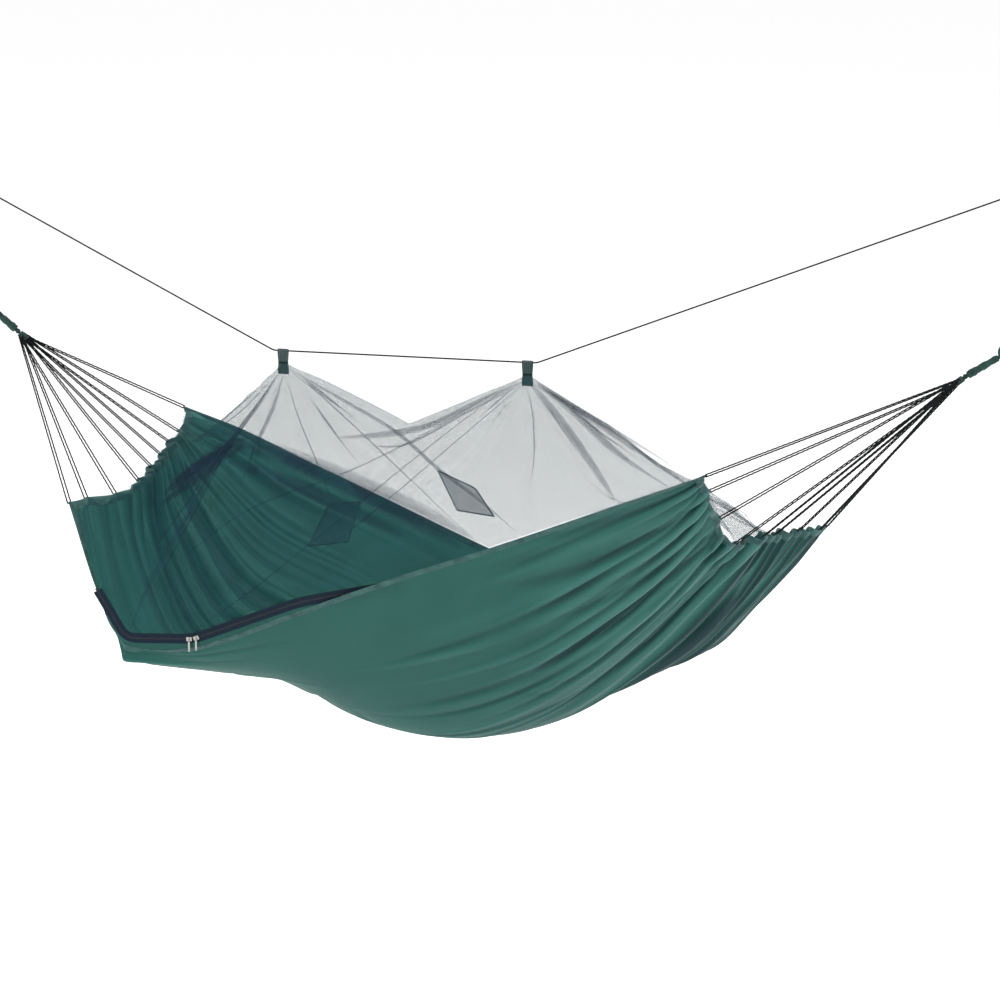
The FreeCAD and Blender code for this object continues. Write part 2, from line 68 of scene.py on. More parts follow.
# Places where the cloth hangs lower, or is held higher, than the even curve: metres up.
HANG_CHANGES = {
    (3, 1): 0.006, (3, 2): 0.024, (3, 3): 0.020,
    (4, 2): -0.006, (4, 3): -0.026, (4, 4): -0.020,
    (5, 3): -0.022, (5, 4): -0.012,
    (6, 5): 0.030, (6, 6): 0.036, (6, 7): 0.012,
    (7, 4): 0.020, (7, 5): 0.036, (7, 6): 0.042, (7, 7): 0.024,
}
NET_NEAR_LINE = [
    (0.461, -0.474, -0.642), (0.534, -0.486, -0.758), (0.711, -0.488, -0.747),
    (0.997, -0.478, -0.629), (1.286, -0.430, -0.573), (1.536, -0.457, -0.463),
    (1.769, -0.447, -0.372), (1.935, -0.432, -0.308),
]
NET_TOP_LINE = [
    (0.600, 0.0, -0.330), (0.720, 0.0, -0.228), (0.839, 0.0, -0.124),
    (1.190, 0.0, -0.285), (1.516, 0.0, -0.126), (1.714, 0.0, -0.225),
    (1.880, 0.060, -0.345), (2.070, 0.150, -0.500),
]
TAB_X = {"head": 0.839, "foot": 1.516}
NET_PEAK = -0.124                # height at which the net meets the tabs
TAB_TOP = -0.0892
TAB_WIDTH = 0.030
TAB_LENGTH = 0.066
BARTACK_HEIGHT = -0.122
ZIP_LINE = [
    (0.448, -0.474, -0.650), (0.526, -0.486, -0.774), (0.712, -0.488, -0.764),
    (1.003, -0.478, -0.646), (1.290, -0.430, -0.590),
]
RIDGE_ROUTE = [
    (0.011, 0.0, 0.319), (0.799, 0.0, -0.0824), (0.814, 0.0, -0.089), (0.832, 0.0, -0.089),
    (1.523, 0.0, -0.089), (1.541, 0.0, -0.089), (1.558, 0.0, -0.0821), (2.791, 0.0, 0.417),
]
RIDGE_DIAMETER = 0.004

# Each end's eye, the point where its cords gather and the hem that they run to.
ENDS = {"head": (HEAD_EYE, HEAD_APEX, HEAD_HEM), "foot": (FOOT_EYE, FOOT_APEX, FOOT_HEM)}

# ---- Cloth sizes ----
BED_WIDTH = 1.42                 # flat width; the end hems gather it to about 0.9 m
BED_LENGTH = 2.24
BED_ROWS, BED_COLUMNS = 111, 97
FINE_FOLD, MIDDLE_FOLD, COARSE_FOLD = 0.014, 0.024, 0.022    # heights
SCALLOP = 0.012                  # how far a hem dips between two cords
# Small creases from each hem: half waves between two cords, height and reach in metres.
CREASES = ((15, 0.0013, 0.85), (10, 0.0024, 0.70), (6, 0.0042, 0.95), (4, 0.0050, 1.25))
# How strongly each stretch between two cords is ruffled, from the near to the far edge.
HEAD_GATHERS = [0.15, 0.20, 0.40, 0.9, 1.1, 1.1, 1.0, 0.5]
FOOT_GATHERS = [0.40, 0.50, 0.80, 1.1, 1.1, 1.0, 0.8, 0.9]
CORD_RADIUS = 0.0021
TWIST_PITCH = 0.016              # along a cord, from the crest of one strand to the next
LEG_SPACING = 0.0012             # sideways, where the cords gather
LAYER_SPACING = 0.0038           # between the layers of cords there
FOOT_SPREAD = 0.0065             # from a cord's place on the hem to each of its legs
SLEEVE_START = 0.0285            # from a loop's eye to its rolled sleeve
SLEEVE_END = 0.0085              # from the sleeve to where the cords gather
WHIPPING_START = 0.008           # from where the cords gather to the whipping
WHIPPING_LENGTH = 0.026
WHIPPING_HALF_SIZES = (0.0122, 0.0072)
WHIPPING_CORD_RADIUS = 0.0018
ZIP_TAPE_EDGES = (0.0008, 0.0135)    # from the zip's middle line
TEETH_PITCH = 0.0026
WEBBING_HALF_THICKNESS = 0.0009
STITCH_PITCH = 0.0048
STITCH_LENGTH = 0.0032
HEM_DEPTH = 0.026                # width of the end casings that hold the cords
EDGE_DEPTH = 0.018               # width of the hems along the long edges
NET_ROWS, NET_COLUMNS = 111, 81

CAMERA_PLACE = (3.274, -8.912, 2.115)
CAMERA_TURN = 11.624             # degrees to the left of +Y
CAMERA_DROP = 15.898             # degrees below the horizon
CAMERA_LENS = 125.5
FLOOR_HEIGHT = -1.62


# ---- Grids and curves ----
def curve_weights(count, places):
    """Rows of weights that read a smooth curve through count points at the given places."""
    weights = np.zeros((len(places), count + 2))
    for row, place in enumerate(places):
        i = min(int(place), count - 2)
        f = place - i
        weights[row, i] = 0.5 * (-f + 2 * f * f - f ** 3)
        weights[row, i + 1] = 0.5 * (2 - 5 * f * f + 3 * f ** 3)
        weights[row, i + 2] = 0.5 * (f + 4 * f * f - 3 * f ** 3)
        weights[row, i + 3] = 0.5 * (-f * f + f ** 3)
    inner = weights[:, 1:-1].copy()
    inner[:, 0] += 2 * weights[:, 0]
    inner[:, 1] -= weights[:, 0]
    inner[:, -1] += 2 * weights[:, -1]
    inner[:, -2] -= weights[:, -1]
    return inner


def smooth_line(points, places):
    """A smooth line through points, read at the given places."""
    return curve_weights(len(points), places) @ np.array(points, float)


def smooth_grid(control, row_places, column_places):
    """A smooth sheet through a grid of points, read at the given places."""
    across = curve_weights(control.shape[1], column_places)
    along = curve_weights(control.shape[0], row_places)
    return np.einsum("ri,ijk,cj->rck", along, control, across)


def finer(grid, rows, columns):
    """The same sheet with more points."""
    shape = grid.shape
    return smooth_grid(grid.reshape(shape[0], shape[1], -1), np.linspace(0, shape[0] - 1, rows),
                       np.linspace(0, shape[1] - 1, columns))


def even_places(control, rows):
    """Places along a grid's rows that are the same mean distance apart."""
    fine = np.linspace(0, control.shape[0] - 1, 400)
    lines = smooth_grid(control, fine, np.arange(control.shape[1]))
    steps = np.linalg.norm(np.diff(lines, axis=0), axis=2).mean(1)
    run = np.concatenate([[0], np.cumsum(steps)])
    return np.interp(np.linspace(0, run[-1], rows), run, fine)


def run_along(line):
    """Metres along a line at each of its points."""
    return np.concatenate([[0], np.cumsum(np.linalg.norm(np.diff(line, axis=0), axis=1))])


def read_along(places, run, values):
    """Values at the given metres along a line, from its values at run."""
    return np.stack([np.interp(places, run, values[:, k]) for k in range(3)], axis=-1)


def unit(vectors):
    """The vectors, each made one long."""
    vectors = np.asarray(vectors, float)
    return vectors / np.maximum(np.linalg.norm(vectors, axis=-1, keepdims=True), 1e-12)


def grid_normals(grid):
    """A grid's unit normals."""
    return unit(np.cross(np.gradient(grid, axis=0), np.gradient(grid, axis=1)))


def blurred(values, axis, half):
    """A running mean over 2 * half + 1 places along one axis."""
    pad = [(0, 0)] * values.ndim
    pad[axis] = (half + 1, half)
    total = np.cumsum(np.pad(values, pad, mode="edge"), axis=axis)
    size = values.shape[axis]
    upper = np.take(total, np.arange(2 * half + 1, 2 * half + 1 + size), axis=axis)
    lower = np.take(total, np.arange(0, size), axis=axis)
    return (upper - lower) / (2 * half + 1)


def soft_noise(rng, shape, blocks):
    """Smooth random values near -1 to 1, with about blocks of change along each axis."""
    coarse = rng.uniform(-1, 1, (blocks[0] + 1, blocks[1] + 1, 1))
    return finer(coarse, shape[0], shape[1])[:, :, 0]


def fade(distance, start, end):
    """1 before start, 0 after end, smooth between them."""
    t = np.clip((distance - start) / (end - start), 0, 1)
    return 1 - t * t * (3 - 2 * t)


# ---- Making objects ----
def link(obj):
    """Puts an object in the scene."""
    bpy.context.scene.collection.objects.link(obj)
    return obj


def mesh_object(name, points, faces, material, uvs=None, smooth=True):
    """A mesh object. uvs, if given, is one flat place in metres for each point."""
    mesh = bpy.data.meshes.new(name)
    mesh.from_pydata(np.asarray(points, float).reshape(-1, 3).tolist(), [], [list(f) for f in faces])
    mesh.polygons.foreach_set("use_smooth", [smooth] * len(mesh.polygons))
    if uvs is not None:
        layer = mesh.uv_layers.new(name="UVMap")
        corner = np.zeros(len(mesh.loops), np.int32)
        mesh.loops.foreach_get("vertex_index", corner)
        layer.data.foreach_set("uv", np.asarray(uvs, np.float32).reshape(-1, 2)[corner].ravel())
    mesh.materials.append(material)
    return link(bpy.data.objects.new(name, mesh))


def grid_faces(rows, columns, closed=False, offset=0):
    """Quads of a grid, with its columns joined round if closed."""
    index = offset + np.arange(rows * columns).reshape(rows, columns)
    if closed:
        index = np.concatenate([index, index[:, :1]], axis=1)
    corners = [index[:-1, :-1], index[1:, :-1], index[1:, 1:], index[:-1, 1:]]
    return np.stack(corners, axis=2).reshape(-1, 4)


def tube_faces(rings, count):
    """Faces of a tube of rings with count points each, with its end caps."""
    faces = [list(f) for f in grid_faces(rings, count, closed=True)]
    faces.append(list(range(count))[::-1])
    faces.append([(rings - 1) * count + k for k in range(count)])
    return faces


def set_point_value(obj, name, values):
    """Gives each point of a mesh one number that its material can read."""
    attribute = obj.data.attributes.new(name, "FLOAT", "POINT")
    attribute.data.foreach_set("value", np.asarray(values, np.float32).ravel())


def frames_along(line):
    """Tangent, side and lift at each point of a line, turned as little as possible from point to point."""
    line = np.asarray(line, float)
    tangent = unit(np.gradient(line, axis=0))
    start = np.array([0.0, 0.0, 1.0]) if abs(tangent[0][2]) < 0.9 else np.array([0.0, 1.0, 0.0])
    lift = [unit(start - tangent[0] * (start @ tangent[0]))]
    for direction in tangent[1:]:
        carried = lift[-1] - direction * (lift[-1] @ direction)
        lift.append(unit(carried))
    lift = np.array(lift)
    return tangent, np.cross(tangent, lift), lift


def swept(line, section, turns=None, scale=None, side=None, lift=None):
    """Rings of a section, (side, lift) pairs in metres, along a line, with its end caps."""
    line = np.asarray(line, float)
    if side is None:
        side, lift = frames_along(line)[1:]
    section = np.asarray(section, float)
    rings = []
    for i, centre in enumerate(line):
        turn = 0.0 if turns is None else turns[i]
        size = 1.0 if scale is None else scale[i]
        a = (section[:, 0] * math.cos(turn) - section[:, 1] * math.sin(turn)) * size
        b = (section[:, 0] * math.sin(turn) + section[:, 1] * math.cos(turn)) * size
        rings.append(centre + a[:, None] * side[i] + b[:, None] * lift[i])
    return np.concatenate(rings), tube_faces(len(line), len(section))


def merged(parts):
    """Several (points, faces) pairs as one."""
    points, faces = [], []
    base = 0
    for part_points, part_faces in parts:
        points.append(np.asarray(part_points, float).reshape(-1, 3))
        faces.extend([[base + k for k in face] for face in part_faces])
        base += len(points[-1])
    return np.concatenate(points), faces


def round_section(radius, sides=8):
    """A round section for swept()."""
    angles = np.linspace(0, 2 * math.pi, sides, endpoint=False)
    return np.stack([radius * np.cos(angles), radius * np.sin(angles)], axis=1)


# ---- Materials ----
def new_material(name, colour, roughness=0.5, **sockets):
    """A material with its colour, its roughness and other sockets, which have _ for each space."""
    material = bpy.data.materials.new(name)
    material.use_nodes = True
    shader = material.node_tree.nodes["Principled BSDF"]
    shader.inputs["Base Color"].default_value = (*colour, 1)
    shader.inputs["Roughness"].default_value = roughness
    for socket, value in sockets.items():
        shader.inputs[socket.replace("_", " ")].default_value = value
    return material, material.node_tree, shader


def point_value(tree, name):
    """The number that set_point_value() gave to the mesh's points."""
    node = tree.nodes.new("ShaderNodeAttribute")
    node.attribute_name = name
    return node.outputs["Fac"]


def flat_place(tree):
    """The place on the flat cloth, in metres."""
    return tree.nodes.new("ShaderNodeUVMap").outputs["UV"]


def solid_place(tree):
    """The place in the object, in metres."""
    return tree.nodes.new("ShaderNodeTexCoord").outputs["Object"]


def bands(tree, vector, direction, scale, distortion=0.0):
    """Bands 0.314 / scale metres apart."""
    wave = tree.nodes.new("ShaderNodeTexWave")
    wave.bands_direction = direction
    wave.inputs["Scale"].default_value = scale
    wave.inputs["Distortion"].default_value = distortion
    tree.links.new(vector, wave.inputs["Vector"])
    return wave.outputs["Fac"]


def combine(tree, operation, first, second):
    """One arithmetic step on two values, each a number or a node's output."""
    node = tree.nodes.new("ShaderNodeMath")
    node.operation = operation
    for socket, value in zip(node.inputs, (first, second)):
        if isinstance(value, (int, float)):
            socket.default_value = value
        else:
            tree.links.new(value, socket)
    return node.outputs[0]


def ramp(tree, factor, stops):
    """Colours that a factor picks from, as (place, colour) stops."""
    node = tree.nodes.new("ShaderNodeValToRGB")
    elements = node.color_ramp.elements
    while len(elements) < len(stops):
        elements.new(0.5)
    for element, (place, colour) in zip(elements, stops):
        element.position = place
        element.color = (*colour, 1) if len(colour) == 3 else colour
    tree.links.new(factor, node.inputs["Fac"])
    return node.outputs["Color"]


def noise(tree, vector, scale, detail=3.0):
    """Soft random spots."""
    node = tree.nodes.new("ShaderNodeTexNoise")
    node.inputs["Scale"].default_value = scale
    node.inputs["Detail"].default_value = detail
    tree.links.new(vector, node.inputs["Vector"])
    return node.outputs["Fac"]


def add_bump(tree, shader, height, strength, distance):
    """Relief on the surface, distance metres high at full strength."""
    node = tree.nodes.new("ShaderNodeBump")
    node.inputs["Strength"].default_value = strength
    node.inputs["Distance"].default_value = distance
    tree.links.new(height, node.inputs["Height"])
    tree.links.new(node.outputs["Normal"], shader.inputs["Normal"])


def multiply_colours(tree, first, second):
    """One colour times another."""
    node = tree.nodes.new("ShaderNodeMix")
    node.data_type = "RGBA"
    node.blend_type = "MULTIPLY"
    node.inputs[0].default_value = 1.0
    tree.links.new(first, node.inputs[6])
    tree.links.new(second, node.inputs[7])
    return node.outputs[2]


def speckle(tree, shader, place, scale, first, second, start=0.3, end=0.7):
    """Soft spots between two colours as the base colour."""
    colour = ramp(tree, noise(tree, place, scale), [(start, first), (end, second)])
    tree.links.new(colour, shader.inputs["Base Color"])


def let_light_through(tree, shader, colour, share):
    """Thin cloth glows a little where the light is behind it."""
    through = tree.nodes.new("ShaderNodeBsdfTranslucent")
    through.inputs["Color"].default_value = (*colour, 1)
    mix = tree.nodes.new("ShaderNodeMixShader")
    mix.inputs[0].default_value = share
    tree.links.new(shader.outputs[0], mix.inputs[1])
    tree.links.new(through.outputs[0], mix.inputs[2])
    tree.links.new(mix.outputs[0], tree.nodes["Material Output"].inputs["Surface"])


def speckled_material(name, colour, roughness, spots, relief, **sockets):
    """A material with soft spots, as speckle() takes them, and a relief: scale, detail, strength, height."""
    material, tree, shader = new_material(name, colour, roughness, **sockets)
    place = solid_place(tree)
    speckle(tree, shader, place, *spots)
    scale, detail, strength, height = relief
    add_bump(tree, shader, noise(tree, place, scale, detail), strength, height)
    return material


def bed_material():
    """Thin green nylon: fine plain weave, soft sheen, and a painted shade of deeper blue-green in the
    valleys of the folds, with painted light on their crests.
    """
    material, tree, shader = new_material("bed_nylon", (0.02, 0.07, 0.062), 0.5, Sheen_Weight=0.05,
                                          Sheen_Roughness=0.4, Specular_IOR_Level=0.16)
    shader.inputs["Sheen Tint"].default_value = (0.55, 0.85, 0.8, 1)
    # Painted shade and light: deep navy as painted shade in the folds' valleys, lighter green as painted
    # light on their crests.
    cloth = ramp(tree, point_value(tree, "fold_shade"), [
        (0.0, (0.002, 0.018, 0.026)), (0.38, (0.009, 0.058, 0.050)),
        (0.60, (0.014, 0.079, 0.068)), (1.0, (0.031, 0.117, 0.104))])
    place = flat_place(tree)
    patches = ramp(tree, noise(tree, place, 5.0), [(0.3, (0.86, 0.9, 0.93)), (0.7, (1.1, 1.06, 1.04))])
    tree.links.new(multiply_colours(tree, cloth, patches), shader.inputs["Base Color"])
    weave = combine(tree, "MULTIPLY", bands(tree, place, "X", 620.0), bands(tree, place, "Y", 620.0))
    slub = noise(tree, place, 160.0, 2.0)
    add_bump(tree, shader, combine(tree, "ADD", weave, slub), 0.22, 0.0004)
    let_light_through(tree, shader, (0.03, 0.15, 0.11), 0.2)
    return material


def hem_material():
    """The doubled cloth of the hems: the same nylon, a little deeper, with puckers from the stitching."""
    return speckled_material("hem_nylon", (0.02, 0.07, 0.06), 0.5,
                             (40.0, (0.010, 0.040, 0.042), (0.030, 0.088, 0.078)),
                             (130.0, 3.0, 0.5, 0.0016), Sheen_Weight=0.05, Specular_IOR_Level=0.16)


def net_material(name, pitch, open_share, tint, solid=False, soft_sides=False):
    """Knitted insect net: thin threads round open cells, seen as a haze from a distance."""
    material, tree, shader = new_material(name, tint, 0.75, Specular_IOR_Level=0.1)
    place = solid_place(tree) if solid else flat_place(tree)
    rotated = tree.nodes.new("ShaderNodeMapping")
    turn = math.radians(45)
    rotated.inputs["Rotation"].default_value = (0, turn, 0) if solid else (0, 0, turn)
    tree.links.new(place, rotated.inputs["Vector"])
    scale = math.pi / (10 * pitch)
    first = bands(tree, rotated.outputs["Vector"], "X", scale)
    second = bands(tree, rotated.outputs["Vector"], "Z" if solid else "Y", scale)
    threads = combine(tree, "MAXIMUM", first, second)
    cells = tree.nodes.new("ShaderNodeMapRange")
    cells.inputs["From Min"].default_value = open_share
    cells.inputs["From Max"].default_value = open_share + 0.02
    tree.links.new(threads, cells.inputs["Value"])
    cover = cells.outputs[0]
    if soft_sides:
        cover = combine(tree, "MULTIPLY", cover, point_value(tree, "thickness"))
    tree.links.new(cover, shader.inputs["Alpha"])
    speckle(tree, shader, place, 9.0, tuple(c * 0.8 for c in tint), tuple(c * 1.25 for c in tint))
    return material


def cord_material():
    """Twisted black polyester cord with soft dusty, worn spots."""
    return speckled_material("cord_black", (0.004, 0.005, 0.005), 0.7,
                             (220.0, (0.002, 0.003, 0.003), (0.008, 0.010, 0.011), 0.35, 0.75),
                             (900.0, 2.0, 0.6, 0.0005), Specular_IOR_Level=0.08)


def webbing_material():
    """Shiny dark green webbing with ribs along its length."""
    material, tree, shader = new_material("tab_webbing", (0.015, 0.045, 0.04), 0.34, Specular_IOR_Level=0.4)
    place = solid_place(tree)
    ribs = bands(tree, place, "X", 60.0, 0.4)
    weave = bands(tree, place, "Z", 150.0, 0.6)
    colour = ramp(tree, combine(tree, "MULTIPLY", ribs, weave), [(0.1, (0.006, 0.018, 0.020)),
                                                                 (0.8, (0.05, 0.10, 0.09))])
    tree.links.new(colour, shader.inputs["Base Color"])
    add_bump(tree, shader, combine(tree, "ADD", ribs, weave), 0.8, 0.0006)
    return material


def rope_cloth_material():
    """The rolled cloth that wraps the hanging loops."""
    return speckled_material("loop_cloth", (0.01, 0.03, 0.025), 0.6,
                             (70.0, (0.004, 0.014, 0.013), (0.016, 0.050, 0.039)),
                             (260.0, 3.0, 0.5, 0.001), Sheen_Weight=0.05, Specular_IOR_Level=0.12)


def tape_material():
    """Ribbed navy zip tape."""
    material, tree, shader = new_material("zip_tape", (0.006, 0.012, 0.022), 0.7, Specular_IOR_Level=0.08)
    place = flat_place(tree)
    ribs = bands(tree, place, "Y", 180.0, 0.3)
    weft = bands(tree, place, "X", 420.0, 0.3)
    colour = ramp(tree, ribs, [(0.2, (0.003, 0.007, 0.014)), (0.8, (0.009, 0.020, 0.034))])
    tree.links.new(colour, shader.inputs["Base Color"])
    add_bump(tree, shader, combine(tree, "ADD", ribs, combine(tree, "MULTIPLY", weft, 0.4)), 0.7, 0.0005)
    return material


def teeth_material():
    """Dark glossy nylon of the zip's coil."""
    return speckled_material("zip_teeth", (0.007, 0.010, 0.015), 0.35,
                             (300.0, (0.004, 0.006, 0.010), (0.014, 0.018, 0.026)),
                             (1500.0, 3.0, 0.2, 0.0002), Specular_IOR_Level=0.2)


def metal_material():
    """Bright nickel with fine scratches and duller handled faces."""
    material, tree, shader = new_material("slider_metal", (0.30, 0.295, 0.28), 0.3, Metallic=1.0)
    place = solid_place(tree)
    rough = ramp(tree, noise(tree, place, 420.0), [(0.3, (0.2, 0.2, 0.2)), (0.75, (0.45, 0.45, 0.45))])
    tree.links.new(rough, shader.inputs["Roughness"])
    add_bump(tree, shader, noise(tree, place, 2200.0, 2.0), 0.15, 0.0002)
    return material


def thread_material(name, colour):
    """Sewing thread with a fine grain."""
    return speckled_material(name, colour, 0.65,
                             (500.0, tuple(c * 0.7 for c in colour), tuple(c * 1.3 for c in colour)),
                             (1400.0, 3.0, 0.4, 0.0002), Specular_IOR_Level=0.12)


def floor_material():
    """A pale floor that stays near white in the camera's view."""
    material, _, shader = new_material("pale_floor", (0.93, 0.93, 0.93), 0.85, Specular_IOR_Level=0.1,
                                       Emission_Strength=0.30)
    shader.inputs["Emission Color"].default_value = (1, 1, 1, 1)
    return material


# ---- Camera and light ----
def make_camera():
    """The camera at the photograph's viewing angle."""
    data = bpy.data.cameras.new("camera")
    data.sensor_width = 36.0
    data.lens = CAMERA_LENS
    data.clip_end = 200.0
    camera = link(bpy.data.objects.new("camera", data))
    camera.location = CAMERA_PLACE
    camera.rotation_euler = (math.radians(90 - CAMERA_DROP), 0, math.radians(CAMERA_TURN))
    bpy.context.scene.camera = camera


def area_light(name, place, target, size, power):
    """A square soft light that faces its target, in watts."""
    data = bpy.data.lights.new(name, "AREA")
    data.shape = "SQUARE"
    data.size = size
    data.energy = power
    lamp = link(bpy.data.objects.new(name, data))
    lamp.location = place
    away = Vector(place) - Vector(target)
    lamp.rotation_euler = away.to_track_quat("Z", "Y").to_euler()


def make_studio():
    """Plain soft light and a plain pale floor."""
    scene = bpy.context.scene
    scene.view_settings.view_transform = "Standard"
    world = bpy.data.worlds.new("studio")
    world.use_nodes = True
    world.node_tree.nodes["Background"].inputs["Color"].default_value = (1, 1, 1, 1)
    world.node_tree.nodes["Background"].inputs["Strength"].default_value = 0.72
    scene.world = world
    area_light("key", (-3.2, -4.8, 1.6), (0.8, -0.2, -0.8), 2.6, 315)
    area_light("fill", (6.6, -1.2, 2.4), (0.5, 0.0, -0.6), 2.6, 330)
    area_light("top", (1.4, 0.6, 4.6), (1.4, 0.0, -0.5), 4.0, 120)
    floor = mesh_object("floor", [(-60, -60, FLOOR_HEIGHT), (60, -60, FLOOR_HEIGHT),
                                  (60, 60, FLOOR_HEIGHT), (-60, 60, FLOOR_HEIGHT)],
                        [(0, 1, 2, 3)], floor_material(), smooth=False)


# ---- Cords ----
def make_ridge_cord(material):
    """The taut cord over the net, tied to a loop at each end."""
    curve = bpy.data.curves.new("ridge_line", "CURVE")
    curve.dimensions = "3D"
    curve.bevel_depth = RIDGE_DIAMETER * 0.52
    curve.bevel_resolution = 3
    curve.resolution_u = 8
    curve.use_fill_caps = True
    spline = curve.splines.new("NURBS")
    spline.points.add(len(RIDGE_ROUTE) - 1)
    for point, place in zip(spline.points, RIDGE_ROUTE):
        point.co = (*place, 1)
    spline.order_u = 3
    spline.use_endpoint_u = True
    curve.materials.append(material)
    cord = link(bpy.data.objects.new("ridge_line", curve))
    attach(cord, "anchor_lines")
    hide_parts("ridge_cord")
    ends = [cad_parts["ridge_cord_head_loop"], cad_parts["ridge_cord_foot_loop"]]
    for loop in ends:
        dress_node(loop.name, material, 0)


def dress_node(name, material, bevel=0.0003):
    """A CAD node keeps its shape and gets a better material and, if bevel isn't 0, soft edges."""
    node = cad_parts[name]
    node.data.materials.clear()
    node.data.materials.append(material)
    if bevel:
        edge = node.modifiers.new("soft_edges", "BEVEL")
        edge.width = bevel
        edge.segments = 2
        edge.limit_method = "ANGLE"


def bundle_frame(apex, hem):
    """The direction from where the cords gather to the hem, and the one square to it and to Y."""
    middle = np.mean(np.array(hem), axis=0)
    along = unit([middle[0] - apex[0], 0, middle[2] - apex[2]])
    return along, np.cross(along, [0, 1, 0])


def twisted_leg(start, end, phase):
    """One leg of a cord: a strand section with three lobes, turned along the line."""
    start, end = np.array(start), np.array(end)
    length = np.linalg.norm(end - start)
    step = 0.0035
    steps = int(length / step)
    line = start + (end - start) * np.linspace(0, 1, steps)[:, None]
    angles = np.linspace(0, 2 * math.pi, 9, endpoint=False)
    radius = CORD_RADIUS * (0.9 + 0.16 * np.cos(3 * angles))
    section = np.stack([radius * np.cos(angles), radius * np.sin(angles)], axis=1)
    turns = phase + np.linspace(0, length / TWIST_PITCH * 2 * math.pi / 3, steps)
    return swept(line, section, turns=turns)


def make_hanging_cords(end, apex, hem, material, rng):
    """Nine cord loops from the gathered bundle to the hem, two twisted legs each."""
    along, across = bundle_frame(apex, hem)
    hem = np.array(hem)
    for index, point in enumerate(hem):
        tangent = unit(hem[min(index + 1, 8)] - hem[max(index - 1, 0)])
        legs = []
        feet = []
        for side in (0, 1):
            leg = 2 * index + side
            sideways = (leg - 8.5) * LEG_SPACING
            layer = (leg % 4 - 1.5) * LAYER_SPACING
            start = np.array(apex) + along * 0.014 + np.array([0, sideways, 0]) + across * layer
            foot = point + tangent * ((2 * side - 1) * FOOT_SPREAD)
            feet.append(foot)
            legs.append(twisted_leg(start, foot, rng.uniform(0, 6)))
        bend = feet[0] + (feet[1] - feet[0]) * np.linspace(0, 1, 5)[:, None]
        legs.append(swept(bend, round_section(CORD_RADIUS, 8)))
        points, faces = merged(legs)
        name = f"{end}_hanging_cord_{index + 1:02d}"
        cord = mesh_object(name, points, faces, material)
        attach(cord, "hammock")
        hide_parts(f"{end}_cord_{index + 1:02d}")


def wrapped_roll(line, radii, turns_per_metre, lobes, depth):
    """Rolled cloth round a line: a lobed section that winds along it."""
    line = np.asarray(line, float)
    angles = np.linspace(0, 2 * math.pi, 28, endpoint=False)
    run = run_along(line)
    profile = 1 + depth * np.abs(np.sin(lobes * angles / 2)) - depth / 2
    section = np.stack([profile * np.cos(angles), profile * np.sin(angles)], axis=1)
    return swept(line, section, turns=run * turns_per_metre * 2 * math.pi, scale=radii)


def make_loops(materials):
    """The hanging loops: a cloth-wrapped rope ring, its neck, the sleeve round it and the cord whipping."""
    for end, (eye, apex, hem) in ENDS.items():
        dress_node(f"{end}_loop", materials["rope"], 0)
        eye, apex = np.array(eye), np.array(apex)
        down = unit(apex - eye)
        top = eye + down * SLEEVE_START
        bottom = apex - down * SLEEVE_END
        steps = np.linspace(0, 1, 40)
        line = top + (bottom - top) * steps[:, None]
        radii = 0.0082 + 0.0022 * steps + 0.0007 * np.sin(steps * 17)
        points, faces = wrapped_roll(line, radii, 14, 5, 0.12)
        sleeve = mesh_object(f"{end}_rolled_sleeve", points, faces, materials["rope"])
        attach(sleeve, "anchor_lines")
        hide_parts(f"{end}_loop_sleeve")
        make_whipping(end, apex, hem, materials["rope"])


def make_whipping(end, apex, hem, material):
    """A cord wound round the bundle just below the loop."""
    along, across = bundle_frame(apex, hem)
    rounds = 8
    angles = np.linspace(0, rounds * 2 * math.pi, rounds * 22)
    wide, deep = WHIPPING_HALF_SIZES
    advance = WHIPPING_START + WHIPPING_LENGTH * angles / angles[-1]
    line = (np.array(apex) + along * advance[:, None]
            + np.array([0, 1, 0]) * (wide * np.cos(angles))[:, None]
            + across * (deep * np.sin(angles))[:, None])
    coil = swept(line, round_section(WHIPPING_CORD_RADIUS, 8))
    inset = 0.0005
    core_run = np.linspace(WHIPPING_START + inset, WHIPPING_START + WHIPPING_LENGTH - inset, 8)
    core_line = np.array(apex) + along * core_run[:, None]
    side = np.repeat([[0.0, 1.0, 0.0]], 8, axis=0)
    lift = np.repeat([across], 8, axis=0)
    section = round_section(1.0, 20) * np.array([wide - 0.0004, deep - 0.0006])
    core = swept(core_line, section, side=side, lift=lift)
    points, faces = merged([coil, core])
    whipping = mesh_object(f"{end}_whipping", points, faces, material)
    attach(whipping, "hammock")
    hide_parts(f"{end}_cord_collar")


